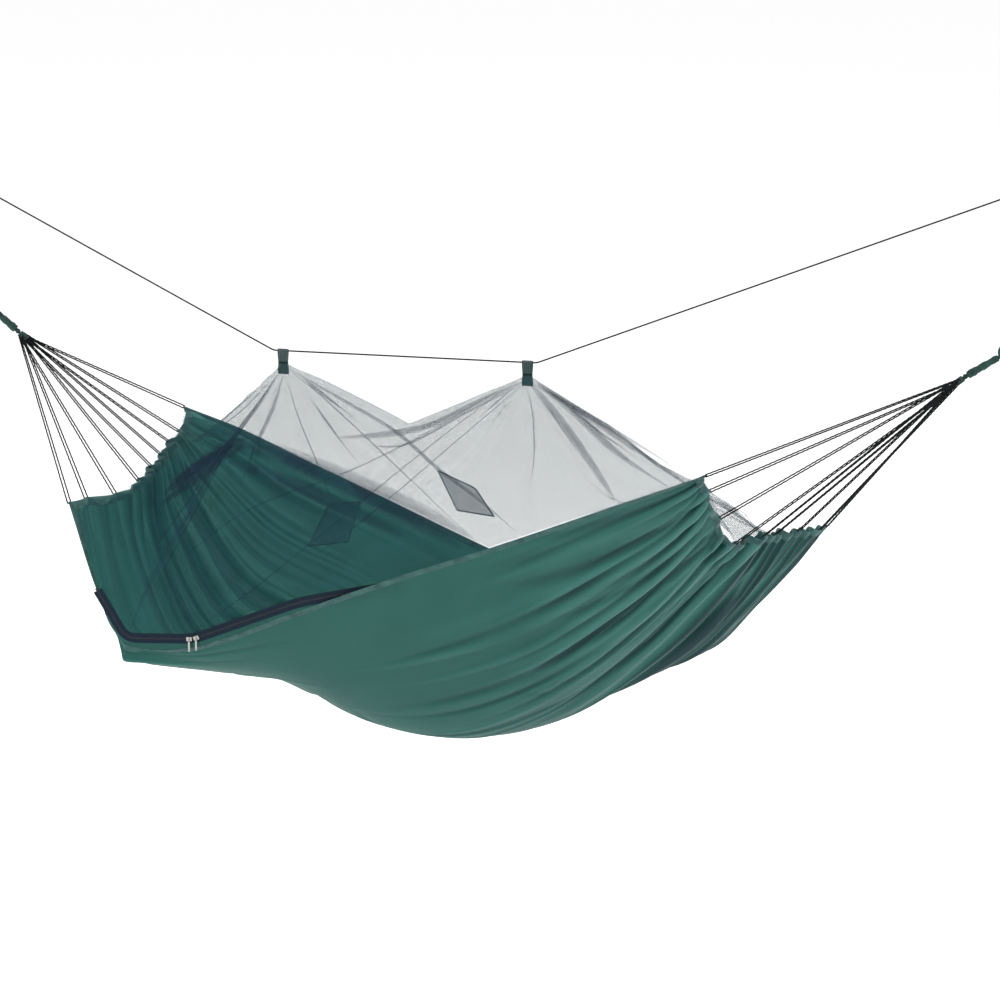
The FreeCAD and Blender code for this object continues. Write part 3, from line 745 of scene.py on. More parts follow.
# ---- Cloth ----
def settle(obj, pins, frames, gravity, tension, bending):
    """Runs cloth on a grid object and returns its settled points. Points with pins of 1 stay."""
    group = obj.vertex_groups.new(name="pins")
    values = pins.ravel()
    for value in np.unique(values):
        group.add(np.flatnonzero(values == value).tolist(), float(value), "REPLACE")
    cloth = obj.modifiers.new("cloth", "CLOTH")
    settings = cloth.settings
    settings.quality = 5
    settings.mass = 0.15
    settings.air_damping = 1
    settings.time_scale = 2.0
    settings.tension_stiffness = tension
    settings.compression_stiffness = tension
    settings.shear_stiffness = tension * 0.2
    settings.bending_stiffness = bending
    settings.tension_damping = 5
    settings.compression_damping = 5
    settings.shear_damping = 5
    settings.bending_damping = 0.5
    settings.vertex_group_mass = "pins"
    settings.effector_weights.gravity = gravity
    cloth.collision_settings.use_collision = False
    cloth.collision_settings.use_self_collision = False
    cloth.point_cache.frame_start = 1
    cloth.point_cache.frame_end = frames
    scene = bpy.context.scene
    for step in range(1, frames + 1):
        scene.frame_set(step)
    settled = obj.evaluated_get(bpy.context.evaluated_depsgraph_get())
    points = np.zeros(len(settled.data.vertices) * 3, np.float32)
    settled.data.vertices.foreach_get("co", points)
    obj.modifiers.remove(cloth)
    scene.frame_set(1)
    return points.reshape(-1, 3).astype(float)


def relaxed(start, pins, frames, gravity, tension, bending, most):
    """The grid after cloth simulation: its folds settle, and no point moves further than most."""
    rows, columns = start.shape[:2]
    plain = bpy.data.materials.new("draping")
    dummy = mesh_object("draping", start, grid_faces(rows, columns), plain)
    settled = settle(dummy, pins, frames, gravity, tension, bending).reshape(start.shape)
    bpy.data.objects.remove(dummy)
    shift = settled - start
    shift -= blurred(blurred(shift, 0, 9), 1, 9)
    reach = np.linalg.norm(shift, axis=2, keepdims=True)
    return start + shift * np.minimum(1, most / np.maximum(reach, 1e-9))


def bed_control():
    """The bed's control points: each station hangs in a curve between the two long edges."""
    grid = [np.array(HEAD_HEM)]
    s = np.linspace(0, 1, len(HEAD_HEM))[:, None]
    for near, far, sag in zip(NEAR_EDGE, FAR_EDGE, BED_SAG):
        line = np.array(near) * (1 - s) + np.array(far) * s
        line[:, 2:] -= sag * 4 * s * (1 - s)
        grid.append(line)
    grid.append(np.array(FOOT_HEM))
    for (i, j), point in PULLED_POINTS.items():
        grid[i][j] = point
    for (i, j), change in HANG_CHANGES.items():
        grid[i][j][2] += change
    return np.array(grid)


def gather_wave(v, halves, heights=(1,) * 8):
    """Waves across the cloth: whole half waves between two cords, so a cord sits at a crossing."""
    bounds = np.concatenate([[0], np.cumsum(halves)])
    phase = np.interp(v * len(halves), np.arange(len(halves) + 1), bounds)
    height = np.interp(v * len(halves), np.arange(len(halves)) + 0.5, heights)
    return np.sin(math.pi * phase) * height


def bed_grid(rng):
    """The gathered bed: fine folds at the hems that join into fewer, longer ones, then settled."""
    control = bed_control()
    row_places = even_places(control, BED_ROWS)
    column_places = np.linspace(0, 8, BED_COLUMNS)
    grid = smooth_grid(control, row_places, column_places)
    taut = straight_grid(control, row_places, column_places)
    past_corner = row_places[:, None] - 2
    from_corner = np.hypot(past_corner / np.where(past_corner < 0, 1.0, 1.35),
                           (column_places[None, :] - 1) / 1.1)
    grid += (taut - grid) * fade(from_corner, 0.6, 1.15)[:, :, None]
    v = np.linspace(0, 1, BED_COLUMNS)
    from_head = np.linspace(0, BED_LENGTH, BED_ROWS)
    from_foot = BED_LENGTH - from_head
    widths = np.linalg.norm(np.diff(grid, axis=1), axis=2).sum(1)
    excess = np.clip(BED_WIDTH / widths, 1.004, 1.7)
    lift = np.zeros(grid.shape[:2])
    for distance, seed, heights in ((from_head, 1, HEAD_GATHERS), (from_foot, 2, FOOT_GATHERS)):
        local = np.random.default_rng(SEED + seed)
        fine = gather_wave(v, local.integers(4, 6, 8), heights)
        middle = gather_wave(v, local.integers(2, 4, 8), heights)
        coarse = gather_wave(v, local.integers(1, 3, 8), heights)
        near_hem = fade(distance, 0.05, 0.34)
        reach = fade(distance, 0.35, 0.95)
        far_reach = fade(distance, 0.5, 1.35)
        strength = np.sqrt(excess - 1)
        lift += np.outer(FINE_FOLD * strength * near_hem, fine)
        lift += np.outer(MIDDLE_FOLD * strength * (1 - 0.8 * near_hem) * reach, middle)
        lift += np.outer(COARSE_FOLD * strength * (1 - near_hem) * far_reach, coarse)
    lift *= 1 + 0.35 * soft_noise(rng, lift.shape, (7, 18))
    edge = np.minimum(v, 1 - v) * BED_WIDTH
    lift *= (1 - fade(edge, 0.0, 0.05))[None, :]
    corner = np.linalg.norm(grid - np.array(PULLED_CORNER), axis=2)
    lift *= 1 - fade(corner, 0.05, 0.30)
    grid = grid + grid_normals(grid) * lift[:, :, None]
    between_cords = np.abs(np.sin(8 * math.pi * v)) ** 0.8
    grid[:, :, 0] += np.outer(SCALLOP * fade(from_head, 0, 0.12), between_cords)
    grid[:, :, 0] -= np.outer(SCALLOP * fade(from_foot, 0, 0.12), between_cords)
    pins = np.zeros(grid.shape[:2])
    pins[:3] = pins[-3:] = 1.0
    pins[:, 0] = pins[:, -1] = 1.0
    pins[corner < 0.025] = 1.0
    return relaxed(grid, pins, 22, 0.5, 40, 0.05, 0.02)


def add_creases(grid, rng):
    """Finer points, with sharp small creases that run out from the hems."""
    grid = finer(grid, 2 * BED_ROWS + 40, 3 * BED_COLUMNS)
    rows, columns = grid.shape[:2]
    v = np.linspace(0, 1, columns)
    from_head = np.linspace(0, BED_LENGTH, rows)
    lift = np.zeros((rows, columns))
    for distance, reach in ((from_head, 1.0), (BED_LENGTH - from_head, 1.05)):
        for count, height, far in CREASES:
            halves = rng.integers(count - 2, count + 3, 8)
            wave = gather_wave(v, halves)
            sharp = np.sign(wave) * np.abs(wave) ** 0.7 - 0.8 * (np.abs(wave) < 0.25)
            length = far * reach * (0.55 + 0.45 * soft_noise(rng, (2, columns), (1, 40))[:1])
            mask = fade(distance[:, None] - length, -0.35, 0.05)
            lift += height * mask * blurred(sharp[None, :], 1, 1) * (1 - fade(distance, 0, 0.03))[:, None]
    lift *= 0.65 + 0.5 * soft_noise(rng, lift.shape, (12, 26))
    calm = np.outer(fade(from_head, 0.5, 1.1), fade(v, 0.22, 0.42))
    lift *= 1 - 0.75 * calm
    lift += long_grooves(v, from_head, rng)
    edge = np.minimum(v, 1 - v) * BED_WIDTH
    lift *= (1 - fade(edge, 0.0, 0.03))[None, :]
    return grid + grid_normals(grid) * lift[:, :, None]


def long_grooves(v, from_head, rng):
    """Narrow straight grooves that run far out from the head hem, at random places on the far side."""
    places = np.sort(rng.uniform(0.42, 0.97, 30))
    lift = np.zeros((len(from_head), len(v)))
    for place in places:
        reach = rng.uniform(0.35, 1.15)
        depth = rng.uniform(0.003, 0.006)
        drift = rng.uniform(-0.02, 0.02) * from_head[:, None] / BED_LENGTH
        groove = np.exp(-((v[None, :] - place - drift) / 0.0045) ** 2)
        strength = fade(from_head, 0.4 * reach, reach) * (1 - fade(from_head, 0.02, 0.10))
        lift -= depth * groove * strength[:, None]
    return lift


def flat_places(grid, width):
    """Each point's place on the flat cloth, for the weave."""
    run = np.concatenate([np.zeros((1, grid.shape[1])),
                          np.cumsum(np.linalg.norm(np.diff(grid, axis=0), axis=2), axis=0)])
    across = np.linspace(0, width, grid.shape[1])[None, :] + np.zeros((grid.shape[0], 1))
    return np.stack([run, across], axis=2)


def fold_shade_factor(grid):
    """How much painted shade or painted light each point gets: 0 for painted shade in the folds' valleys to
    1 for painted light on their crests, as the near half shows outside and the rest inside.
    """
    smooth = blurred(blurred(grid, 1, 7), 1, 7)
    height = ((grid - smooth) * grid_normals(smooth)).sum(2)
    v = np.linspace(0, 1, grid.shape[1])
    # The far half's sign is flipped, so its painted shade falls in the valleys that its inside shows.
    inside = 1 - 2 * fade(v, 0.42, 0.58)
    return np.clip(0.5 + height * inside / 0.011, 0, 1)


def make_bed(materials, rng):
    """The bed sheet with its hems."""
    grid = add_creases(bed_grid(rng), rng)
    rows, columns = grid.shape[:2]
    bed = mesh_object("bed_sheet", grid, grid_faces(rows, columns), materials["bed"],
                      flat_places(grid, BED_WIDTH))
    # Each point's painted shade in the fold valleys and painted light on the crests.
    set_point_value(bed, "fold_shade", fold_shade_factor(grid))
    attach(bed, "hammock")
    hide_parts("bed_panel")
    hems = make_hems(grid, materials)
    hems.append(make_zip_facing(grid[:, 0], materials["bed"]))


def band(line, inward, normal, depth, thickness, roll):
    """A flattened tube along a cloth edge: depth wide, with a thicker rolled outer side."""
    angles = np.linspace(0, 2 * math.pi, 14, endpoint=False)
    across = (1 - np.cos(angles)) / 2
    height = np.sin(angles) * (thickness + (roll - thickness) * (1 - across) ** 3)
    rings = [centre + inward[i] * (across * depth - roll * 0.6)[:, None] + normal[i] * height[:, None]
             for i, centre in enumerate(line)]
    return np.concatenate(rings), [list(f) for f in grid_faces(len(line), len(angles), closed=True)]


def stitches(line, inward, normal, offset, lift):
    """Thread stitches in a row at one distance in from an edge, on both faces."""
    run = run_along(line)
    parts = []
    places = np.arange(STITCH_PITCH, run[-1] - STITCH_PITCH, STITCH_PITCH)
    for sign in (-1, 1):
        row = line + inward * offset + normal * (lift * sign)
        for place in places:
            a = read_along(place - STITCH_LENGTH / 2, run, row)
            b = read_along(place + STITCH_LENGTH / 2, run, row)
            parts.append(stitch(a, b))
    return merged(parts)


def stitch(a, b):
    """One small stitch: a square thread that tapers at both ends."""
    along = unit(b - a)
    side = unit(np.cross(along, [0.3, 0.5, 0.8]))
    lift = np.cross(along, side)
    points = []
    for centre, size in ((a, 0.0002), ((a + b) / 2, 0.0005), (b, 0.0002)):
        for x, y in ((-1, -1), (1, -1), (1, 1), (-1, 1)):
            points.append(centre + side * x * size + lift * y * size)
    faces = []
    for ring in (0, 4):
        for k in range(4):
            faces.append([ring + k, ring + (k + 1) % 4, ring + 4 + (k + 1) % 4, ring + 4 + k])
    faces.append([3, 2, 1, 0])
    faces.append([8, 9, 10, 11])
    return np.array(points), faces


def make_hems(grid, materials):
    """The four hems of the bed, each a doubled band with its stitching."""
    normal = grid_normals(blurred(blurred(grid, 1, 2), 0, 2))
    edges = {
        "head_hem": (grid[0], grid[9] - grid[0], normal[4], HEM_DEPTH, 0.0022, 0.0052, 2),
        "foot_hem": (grid[-1], grid[-10] - grid[-1], normal[-5], HEM_DEPTH, 0.0022, 0.0052, 2),
        "near_edge_hem": (grid[:, 0], grid[:, 4] - grid[:, 0], normal[:, 2],
                          EDGE_DEPTH, 0.0013, 0.0028, 1),
        "far_edge_hem": (grid[:, -1], grid[:, -5] - grid[:, -1], normal[:, -3],
                         EDGE_DEPTH, 0.0013, 0.0028, 1),
    }
    made = []
    for name, (line, inward, face, depth, thickness, roll, rows) in edges.items():
        inward = unit(inward)
        face = unit(face - inward * (face * inward).sum(1, keepdims=True))
        points, faces = band(line, inward, face, depth, thickness, roll)
        hem = mesh_object(name + "_band", points, faces, materials["hem"])
        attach(hem, "hammock")
        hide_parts(name)
        seams = [stitches(line, inward, face, depth - roll * 0.6 - 0.003 * (k + 1), thickness * 0.75)
                 for k in range(rows)]
        points, faces = merged(seams)
        seam = mesh_object(name + "_stitching", points, faces, materials["thread"])
        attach(seam, "hammock")
        made += [hem, seam]
    return made


# ---- Net ----
def net_control():
    """The net's control points: a tent from the near line over the top line to the far edge."""
    grid = [np.array(HEAD_HEM) + np.array([0.004, 0, 0.002])]
    half = np.linspace(0, 1, 5)[:, None]
    for near, top, far in zip(NET_NEAR_LINE, NET_TOP_LINE, FAR_EDGE):
        near, top = np.array(near), np.array(top)
        far = np.array(far) + np.array([0, -0.004, 0.003])
        line = []
        for start, end in ((near, top), (top, far)):
            run = start + (end - start) * half
            run[:, 2:] -= 0.02 * np.linalg.norm(end - start) * 4 * half * (1 - half)
            line.append(run)
        grid.append(np.concatenate([line[0], line[1][1:]]))
    grid.append(np.array(FOOT_HEM) + np.array([-0.004, 0, 0.002]))
    return np.array(grid)


def straight_grid(control, row_places, column_places):
    """Straight runs between control points, as a tight net has between its seams."""
    rows = np.stack([np.stack([np.interp(row_places, np.arange(control.shape[0]), control[:, j, k])
                               for k in range(3)], axis=1) for j in range(control.shape[1])], axis=1)
    return np.stack([np.stack([np.interp(column_places, np.arange(control.shape[1]), row[:, k])
                               for k in range(3)], axis=1) for row in rows])


def net_grid(rng):
    """The net pulled up at the two tabs, with folds that run out from each tab."""
    control = net_control()
    row_places = even_places(control, NET_ROWS)
    for station in (3, 5):
        row_places[np.argmin(np.abs(row_places - station))] = station
    column_places = np.linspace(0, 8, NET_COLUMNS)
    grid = straight_grid(control, row_places, column_places)
    angle_noise = np.zeros(grid.shape[:2])
    for x in TAB_X.values():
        away = grid - np.array([x, 0.0, NET_PEAK])
        distance = np.linalg.norm(away, axis=2)
        angle = np.arctan2(away[:, :, 1], away[:, :, 0])
        for waves, height in ((9, 0.010), (15, 0.006), (23, 0.0035)):
            shift = rng.uniform(0, 6)
            angle_noise += (height * np.sin(waves * angle + shift) * fade(distance, 0.25, 0.75)
                            * (1 - fade(distance, 0.01, 0.12)))
    v = column_places / 8
    u = row_places / 9
    border = np.outer(1 - fade(np.minimum(u, 1 - u), 0.0, 0.1), 1 - fade(np.minimum(v, 1 - v), 0.0, 0.12))
    grid = grid + grid_normals(grid) * (angle_noise * border)[:, :, None]
    pins = np.zeros(grid.shape[:2])
    pins[0] = pins[-1] = 1.0
    pins[:, 0] = pins[:, -1] = 1.0
    for x in TAB_X.values():
        near_tab = np.linalg.norm(grid - np.array([x, 0.0, NET_PEAK]), axis=2) < 0.022
        pins[near_tab] = 1.0
    return relaxed(grid, pins, 16, 0.35, 30, 0.02, 0.035), row_places


NET_PIECES = {
    "net_head_near": ("head", "near"), "net_head_far": ("head", "far"),
    "net_middle_near": ("middle", "near"), "net_middle_far": ("middle", "far"),
    "net_foot_near": ("foot", "near"), "net_foot_far": ("foot", "far"),
}
# How fast follow_share() rises from the bed towards the ridge line: a level change of this many per metre.
FOLLOW_UP, FOLLOW_IN, FOLLOW_END, FOLLOW_LEVEL = 2.78, 1.2, 3.0, 0.62


def follow_share(points, end, side):
    """Lower towards the bed, higher towards the ridge line; net_parts() makes the quads at 1 or more into
    the two tips.
    """
    gradient, base = follow_plane(end, side)
    return points @ gradient + base


def follow_plane(end, side):
    """The share in follow_share() as a gradient and a base."""
    across = FOLLOW_IN if side == "near" else -FOLLOW_IN
    along = {"head": FOLLOW_END, "middle": 0.0, "foot": -FOLLOW_END}[end]
    place = {"head": TAB_X["head"], "middle": 0.0, "foot": TAB_X["foot"]}[end]
    gradient = np.array([along, across, FOLLOW_UP])
    return gradient, FOLLOW_UP * FOLLOW_LEVEL - along * place


def net_parts(points, quads):
    """Which part each quad of the net belongs to: 0 to 5 as NET_PIECES lists them, 6 and 7 the two tips."""
    centre = points.reshape(-1, 3)[quads].mean(1)
    part = np.zeros(len(quads), int)
    share = np.zeros(len(quads))
    station = np.where(centre[:, 0] < TAB_X["head"], 0, np.where(centre[:, 0] > TAB_X["foot"], 2, 1))
    side = (centre[:, 1] > 0).astype(int)
    for k, (end, edge) in enumerate(NET_PIECES.values()):
        chosen = (station == k // 2) & (side == k % 2)
        part[chosen] = k
        share[chosen] = follow_share(centre[chosen], end, edge)
    middle = (TAB_X["head"] + TAB_X["foot"]) / 2
    part[share >= 1.0] = np.where(centre[share >= 1.0, 0] < middle, 6, 7)
    return part


def split_net(points, quads, flat, prefix, material, declare, shares=None):
    """The net, or the folds on it, as pieces: six by end and side, and the two tips."""
    part = net_parts(points, quads)
    made = []
    for k, (name, (end, side)) in enumerate(NET_PIECES.items()):
        if (part == k).any():
            piece = net_piece(prefix + name, points, flat, quads[part == k], material, declare, shares)
            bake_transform(piece)
            made.append(piece)
    for k, (end, x) in enumerate(TAB_X.items()):
        if (part == 6 + k).any():
            piece = net_piece(f"{prefix}net_{end}_tip", points, flat, quads[part == 6 + k], material,
                              declare, shares)
            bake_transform(piece)
            made.append(piece)
    return made


def make_net(materials, rng):
    """The net's pieces and the folds on them."""
    grid, row_places = net_grid(rng)
    fine = finer(grid, 2 * NET_ROWS - 1, 2 * NET_COLUMNS - 1)
    rows, columns = fine.shape[:2]
    made = split_net(fine, grid_faces(rows, columns), flat_places(fine, 1.5), "", materials["net"], True)
    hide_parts("net_canopy")
    even = straight_grid(net_control(), row_places, np.linspace(0, 8, NET_COLUMNS))
    make_net_folds(finer(even, rows, columns), row_places, materials["net_dense"])


# Folds where the net lies doubled: (station, column) places on the net, then the width at the middle.
NET_FOLDS = [
    ([(5.08, 3.90), (5.40, 3.70), (5.93, 3.20), (6.55, 2.33), (7.08, 1.03)], 0.030),
    ([(5.15, 3.95), (5.75, 3.88), (6.73, 3.65), (7.45, 3.55)], 0.026),
    ([(5.12, 3.98), (5.70, 3.80), (6.50, 3.30), (7.50, 2.60)], 0.030),
    ([(5.10, 3.92), (5.50, 3.89), (6.00, 3.86), (6.50, 3.84), (7.00, 3.80), (7.50, 3.70)], 0.022),
    ([(5.05, 3.85), (5.30, 3.40), (5.60, 2.60), (5.80, 1.80)], 0.005),
    ([(7.90, 3.30), (8.30, 4.00), (8.70, 4.90), (8.95, 5.60)], 0.020),
    ([(7.60, 3.50), (8.10, 4.30), (8.60, 5.30), (8.95, 6.20)], 0.024),
    ([(8.10, 2.80), (8.50, 3.60), (8.90, 4.40)], 0.014),
    ([(2.95, 3.85), (2.73, 3.60), (2.18, 3.05), (2.00, 1.95), (1.90, 0.88), (2.00, 0.05)], 0.024),
    ([(2.92, 3.80), (2.60, 3.45), (2.25, 3.00), (2.12, 1.95), (2.05, 0.90)], 0.012),
    ([(2.98, 3.83), (2.60, 3.55), (2.10, 3.00), (1.80, 2.20), (1.60, 1.40)], 0.010),
    ([(3.03, 3.83), (3.03, 3.35), (2.98, 2.80), (2.95, 2.23)], 0.014),
    ([(3.08, 3.95), (3.48, 3.90), (3.93, 3.80), (4.62, 2.48), (5.30, 1.53), (6.10, 0.30)], 0.014),
    ([(3.05, 3.95), (3.43, 3.75), (4.20, 2.83), (5.48, 0.62)], 0.005),
    ([(3.05, 3.83), (3.25, 3.35), (3.55, 2.70), (4.10, 1.30)], 0.005),
    ([(4.98, 3.88), (4.62, 3.85), (4.23, 3.78), (3.88, 3.68), (3.55, 3.28)], 0.030),
    ([(4.98, 3.82), (4.55, 3.70), (4.10, 3.50), (3.80, 3.35)], 0.012),
    ([(4.83, 3.88), (4.42, 3.28), (3.95, 2.05), (3.50, 0.55), (3.05, 0.05)], 0.005),
    ([(4.83, 3.95), (4.25, 3.60), (3.78, 2.85), (3.12, 1.90), (2.27, 1.23)], 0.005),
    ([(5.00, 3.80), (4.60, 3.00), (4.20, 1.90), (3.90, 1.00)], 0.005),
    ([(1.07, 2.55), (1.45, 2.85), (2.00, 3.03), (2.62, 3.08)], 0.060),
    ([(1.10, 2.65), (1.50, 2.90), (2.05, 3.05), (2.50, 3.10)], 0.045),
    ([(1.20, 2.30), (1.70, 2.75), (2.20, 2.95), (2.90, 2.90)], 0.060),
    ([(1.02, 2.45), (1.30, 2.75), (1.75, 3.00), (2.25, 3.12)], 0.034),
    ([(1.00, 2.75), (1.40, 2.95), (1.90, 3.10), (2.40, 3.18)], 0.030),
    ([(1.10, 2.20), (1.50, 2.55), (2.00, 2.80), (2.60, 2.95)], 0.030),
    ([(1.30, 3.00), (1.80, 3.10), (2.40, 3.10), (3.00, 2.75)], 0.050),
    ([(2.62, 3.05), (3.38, 2.75), (4.03, 2.48), (4.85, 1.28), (5.75, 0.15)], 0.080),
    ([(2.30, 3.05), (3.20, 2.75), (3.90, 2.45), (4.70, 1.30), (5.50, 0.30)], 0.060),
    ([(2.40, 2.80), (3.20, 2.45), (3.90, 2.10), (4.70, 1.00)], 0.050),
]


def net_reader(grid, row_places):
    """A function that reads points of the net and its outward directions at (station, column) places."""
    normal = grid_normals(grid)
    normal = normal * np.sign((normal * np.array([0.1, -1.0, 0.4])).sum(2, keepdims=True))
    stations = np.interp(np.linspace(0, 1, grid.shape[0]), np.linspace(0, 1, len(row_places)), row_places)

    def read(places):
        """Points and outward directions at the places."""
        row = np.clip(np.interp(places[:, 0], stations, np.arange(grid.shape[0])), 0, grid.shape[0] - 1.001)
        column = np.clip(places[:, 1] / 8 * (grid.shape[1] - 1), 0, grid.shape[1] - 1.001)
        i, j = row.astype(int), column.astype(int)
        s, t = (row - i)[:, None], (column - j)[:, None]
        found = []
        for values in (grid, normal):
            first = values[i, j] * (1 - t) + values[i, j + 1] * t
            second = values[i + 1, j] * (1 - t) + values[i + 1, j + 1] * t
            found.append(first * (1 - s) + second * s)
        return found[0], unit(found[1])
    return read


def make_net_folds(grid, row_places, material):
    """Tension folds on the near side of the net: doubled strips that thin out at their sides."""
    read = net_reader(grid, row_places)
    across = np.linspace(-1, 1, 9)
    rise = 0.001 + 0.003 * (1 - across ** 2)
    dense = (1 - across ** 2) ** 0.8
    points, quads, flats, shares = [], [], [], []
    base = 0
    for places, width in NET_FOLDS:
        steps = 60
        s = np.linspace(0, 1, steps)
        along = s * (len(places) - 1)
        line = smooth_line(read(np.array(places))[0], along)
        normal = read(smooth_line(places, along))[1]
        normal = unit(blurred(normal, 0, 6))
        tangent = unit(np.gradient(line, axis=0))
        side = unit(np.cross(tangent, normal))
        taper = np.sin(math.pi * np.clip(s * 0.97 + 0.03, 0, 1)) ** 0.7
        half = width * 0.5 * (0.12 + 0.88 * taper)
        strip = (line[:, None, :] + side[:, None, :] * (half[:, None] * across)[:, :, None]
                 + normal[:, None, :] * rise[None, :, None])
        run = run_along(line)
        flat = np.stack([run[:, None] + 0 * across[None, :], half[:, None] * across[None, :]], axis=2)
        quads.append(grid_faces(steps, len(across), offset=base))
        points.append(strip.reshape(-1, 3))
        flats.append(flat.reshape(-1, 2))
        shares.append(((0.25 + 0.75 * taper)[:, None] * dense[None, :]).ravel())
        base += steps * len(across)
    split_net(np.concatenate(points), np.concatenate(quads), np.concatenate(flats), "folds_of_", material,
              False, np.concatenate(shares))


def net_piece(name, grid, flat, quads, material, declare, shares):
    """Part of the net as its own sheet, with only the points it uses."""
    used, index = np.unique(quads, return_inverse=True)
    faces = index.reshape(quads.shape)
    points = grid.reshape(-1, 3)[used]
    piece = mesh_object(name, points, faces, material, flat.reshape(-1, 2)[used])
    if shares is not None:
        set_point_value(piece, "thickness", shares[used])
    if not declare:
        return piece
    return piece


# ---- Zip ----
def zip_route():
    """The zip's middle line with small rounded bends."""
    points = np.array(ZIP_LINE)
    route = [points[0]]
    for before, corner, after in zip(points, points[1:], points[2:]):
        back = unit(before - corner)
        ahead = unit(after - corner)
        for s in np.linspace(0, 1, 9):
            route.append(corner + back * 0.03 * (1 - s) ** 2 + ahead * 0.03 * s ** 2)
    route.append(points[-1])
    route = np.array(route)
    run = run_along(route)
    places = np.linspace(0, run[-1], 260)
    return read_along(places, run, route), places


def zip_frames():
    """The zip's middle line, its run in metres, and the tangent, up and outward directions along it."""
    line, run = zip_route()
    tangent = unit(np.gradient(line, axis=0))
    up = unit(np.stack([-tangent[:, 2], 0 * tangent[:, 0], tangent[:, 0]], axis=1))
    return line, run, tangent, up, np.cross(tangent, up)


def make_zip_facing(bed_edge, material):
    """The strip of bed cloth that joins the near hem to the zip's lower tape."""
    line, run, _, up, outward = zip_frames()
    low = line - up * 0.011 - outward * 0.0008
    nearest = np.linalg.norm(bed_edge[None] - low[:, None], axis=2).argmin(1)
    first = np.maximum.accumulate(nearest)
    edge = bed_edge[first]
    for axis in range(3):
        edge[:, axis] = blurred(edge[:, axis], 0, 4)
    columns = 7
    sag = 0.003
    width = 0.04
    steps = np.linspace(0, 1, columns)
    share = steps[None, :, None]
    grid = low[:, None, :] * (1 - share) + edge[:, None, :] * share
    grid[:, :, 2] -= sag * np.sin(math.pi * steps)[None, :]
    flat = np.stack(np.meshgrid(run, steps * width, indexing="ij"), axis=2)
    facing = mesh_object("zip_facing", grid, grid_faces(len(run), columns), material, flat)
    # An even middle value on the painted fold shade: neither painted shade nor painted light.
    set_point_value(facing, "fold_shade", np.full(len(run) * columns, 0.4))
    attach(facing, "hammock")
    return facing


def make_zip(materials):
    """The zip: tapes, teeth, end stops, sliders and pulls."""
    line, run, tangent, up, outward = zip_frames()
    inner, outer = ZIP_TAPE_EDGES
    for name, low, high in (("zip_tape_bed", -outer, -inner), ("zip_tape_net", inner, outer)):
        offsets = np.array([low, high, high, low])
        heights = np.array([0.0005, 0.0005, -0.0005, -0.0005])
        rings = (line[:, None, :] + up[:, None, :] * offsets[None, :, None]
                 + outward[:, None, :] * heights[None, :, None])
        flat = np.stack(np.meshgrid(run, offsets, indexing="ij"), axis=2)
        tape = mesh_object(name + "_ribbed", rings, grid_faces(len(line), 4, closed=True), materials["tape"],
                           flat, smooth=False)
        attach(tape, "hammock")
        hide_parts(name)
    make_teeth(line, run, tangent, up, outward, materials["teeth"])
    for name in ("zip_head_stop", "zip_foot_stop"):
        dress_node(name, materials["teeth"])
    for end in ("head", "foot"):
        dress_node(f"zip_slider_{end}", materials["metal"])
        dress_node(f"zip_pull_{end}", materials["metal"])


def make_teeth(line, run, tangent, up, outward, material):
    """Coil teeth on each side of the zip's middle, in turn."""
    for name, sign, shift in (("zip_coil_bed", -1, 0.0), ("zip_coil_net", 1, 0.5)):
        parts = []
        for place in np.arange(0.004 + shift * TEETH_PITCH, run[-1] - 0.004, TEETH_PITCH):
            centre, ahead, above, out = [read_along(place, run, values)
                                         for values in (line, tangent, up, outward)]
            centre = centre + above * sign * 0.0015
            parts.append(rounded_block(centre, ahead * 0.0009, above * 0.0019, out * 0.0013))
        points, faces = merged(parts)
        teeth = mesh_object(name + "_teeth", points, faces, material)
        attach(teeth, "hammock")
        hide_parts(name)


def rounded_block(centre, a, b, c):
    """A small block with cut corners, from its three half sizes as vectors."""
    points = []
    for x, y in ((-1, -0.6), (-0.6, -1), (0.6, -1), (1, -0.6), (1, 0.6), (0.6, 1), (-0.6, 1), (-1, 0.6)):
        points.append(centre + a * x + b * y - c)
    points += [p + 2 * c for p in points]
    faces = [[k, (k + 1) % 8, 8 + (k + 1) % 8, 8 + k] for k in range(8)]
    return np.array(points), faces + [list(range(8))[::-1], list(range(8, 16))]


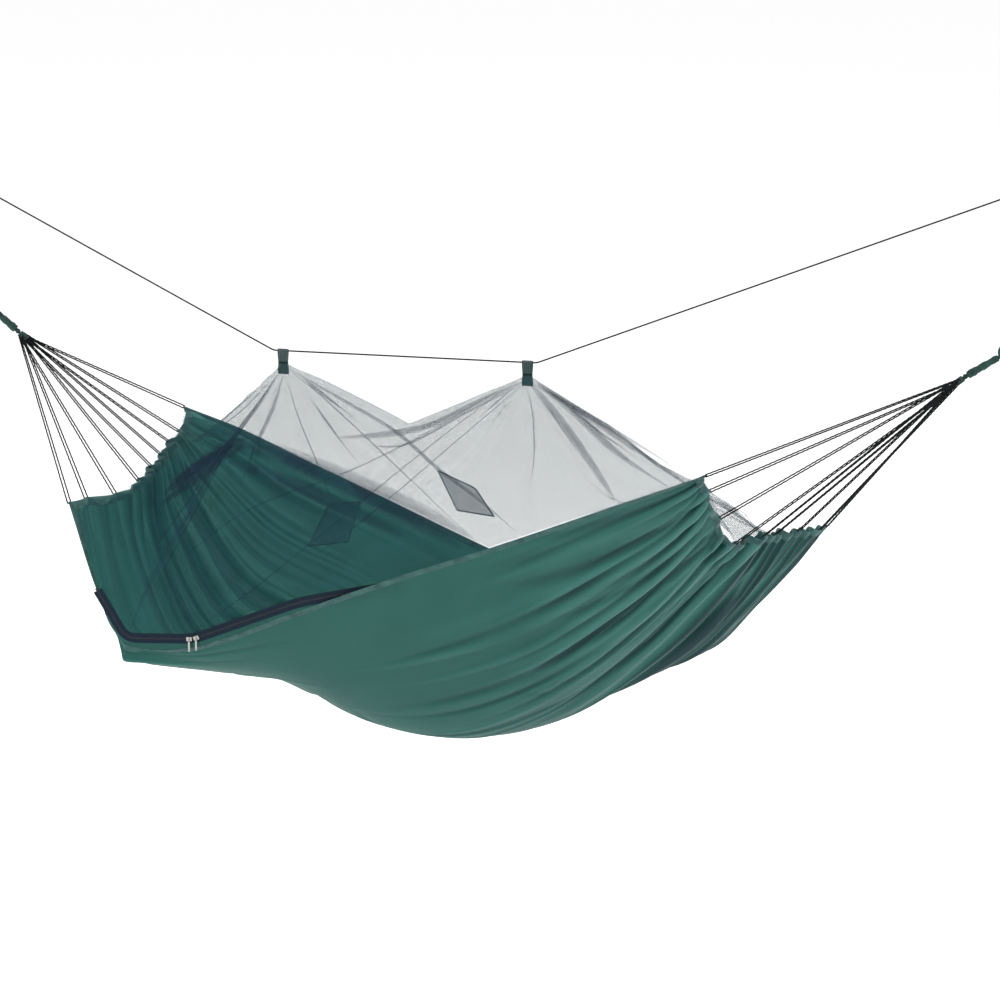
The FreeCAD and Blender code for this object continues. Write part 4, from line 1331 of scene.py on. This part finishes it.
# ---- Tabs ----
def make_tabs(materials):
    """Webbing folded over the ridge cord: a round top on the cord, then two layers down."""
    for end, x in TAB_X.items():
        centre_z = TAB_TOP + 0.0013
        outline = [(0.0035 * math.cos(a), centre_z + 0.0035 * math.sin(a))
                   for a in np.linspace(-0.4, math.pi + 0.4, 15)]
        front = [(0.0030, centre_z - 0.006), (0.0014, centre_z - 0.014), (0.0010, centre_z - 0.030),
                 (0.0011, centre_z - 0.034), (0.0013, centre_z - 0.050), (0.0013, centre_z - TAB_LENGTH)]
        path = [(-y, z) for y, z in reversed(front)] + outline[::-1] + front
        path = np.array(path)
        tangent = unit(np.gradient(path, axis=0))
        normal = np.stack([tangent[:, 1], -tangent[:, 0]], axis=1)
        steps = np.linspace(-1, 1, 13)
        layers = []
        for sign in (1, -1):
            for step in steps[::sign]:
                pinch = 1 - 0.10 * np.exp(-((path[:, 1] - BARTACK_HEIGHT) / 0.008) ** 2)
                edge = 1 - 0.5 * abs(step) ** 8
                lift = sign * WEBBING_HALF_THICKNESS * edge
                y = path[:, 0] + lift * normal[:, 0]
                z = path[:, 1] + lift * normal[:, 1]
                layers.append(np.stack([x + step * TAB_WIDTH / 2 * pinch, y, z], axis=1))
        strap = mesh_object(f"{end}_webbing", np.stack(layers, axis=1), tube_faces(len(path), len(layers)),
                            materials["webbing"])
        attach(strap, f"ridge_tab_{end}")
        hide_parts(f"{end}_tab")
        parts = []
        for side in (-1, 1):
            for k in range(14):
                bar_x = x - TAB_WIDTH * 0.42 + k * TAB_WIDTH * 0.84 / 13
                for slant in (-1, 1):
                    a = np.array([bar_x - slant * 0.0009, side * 0.0026, BARTACK_HEIGHT - 0.0028])
                    b = np.array([bar_x + slant * 0.0009, side * 0.0026, BARTACK_HEIGHT + 0.0028])
                    parts.append(stitch(a, b))
        points, faces = merged(parts)
        bar = mesh_object(f"{end}_bar_stitching", points, faces, materials["thread_dark"])
        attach(bar, f"ridge_tab_{end}")
        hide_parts(f"{end}_tab_bartack")


# ---- Main ----
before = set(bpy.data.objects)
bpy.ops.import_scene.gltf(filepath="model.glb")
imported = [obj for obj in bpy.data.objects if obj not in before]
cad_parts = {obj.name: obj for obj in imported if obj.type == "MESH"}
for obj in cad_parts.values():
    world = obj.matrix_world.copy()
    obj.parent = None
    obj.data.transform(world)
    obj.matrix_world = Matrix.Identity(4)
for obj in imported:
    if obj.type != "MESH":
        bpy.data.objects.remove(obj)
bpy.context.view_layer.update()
make_camera()
rng = np.random.default_rng(SEED)
materials = {
    "bed": bed_material(), "hem": hem_material(),
    "net": net_material("net_mesh", 0.0016, 0.910, (0.008, 0.044, 0.056)),
    "net_dense": net_material("net_doubled", 0.0009, 0.74, (0.006, 0.018, 0.032), soft_sides=True),
    "pocket": net_material("pocket_net", 0.0009, 0.88, (0.008, 0.020, 0.034), solid=True),
    "cord": cord_material(), "webbing": webbing_material(), "rope": rope_cloth_material(),
    "tape": tape_material(), "teeth": teeth_material(), "metal": metal_material(),
    "thread": thread_material("hem_thread", (0.03, 0.09, 0.075)),
    "thread_dark": thread_material("bar_thread", (0.008, 0.02, 0.022)),
}
make_ridge_cord(materials["cord"])
for end, (_, apex, hem) in ENDS.items():
    make_hanging_cords(end, apex, hem, materials["cord"], rng)
make_loops(materials)
make_bed(materials, rng)
make_net(materials, rng)
make_zip(materials)
make_tabs(materials)
for pocket in ("foot_pocket", "head_pocket"):
    dress_node(pocket, materials["pocket"], 0)
    dress_node(pocket + "_binding", materials["thread_dark"], 0)
make_studio()
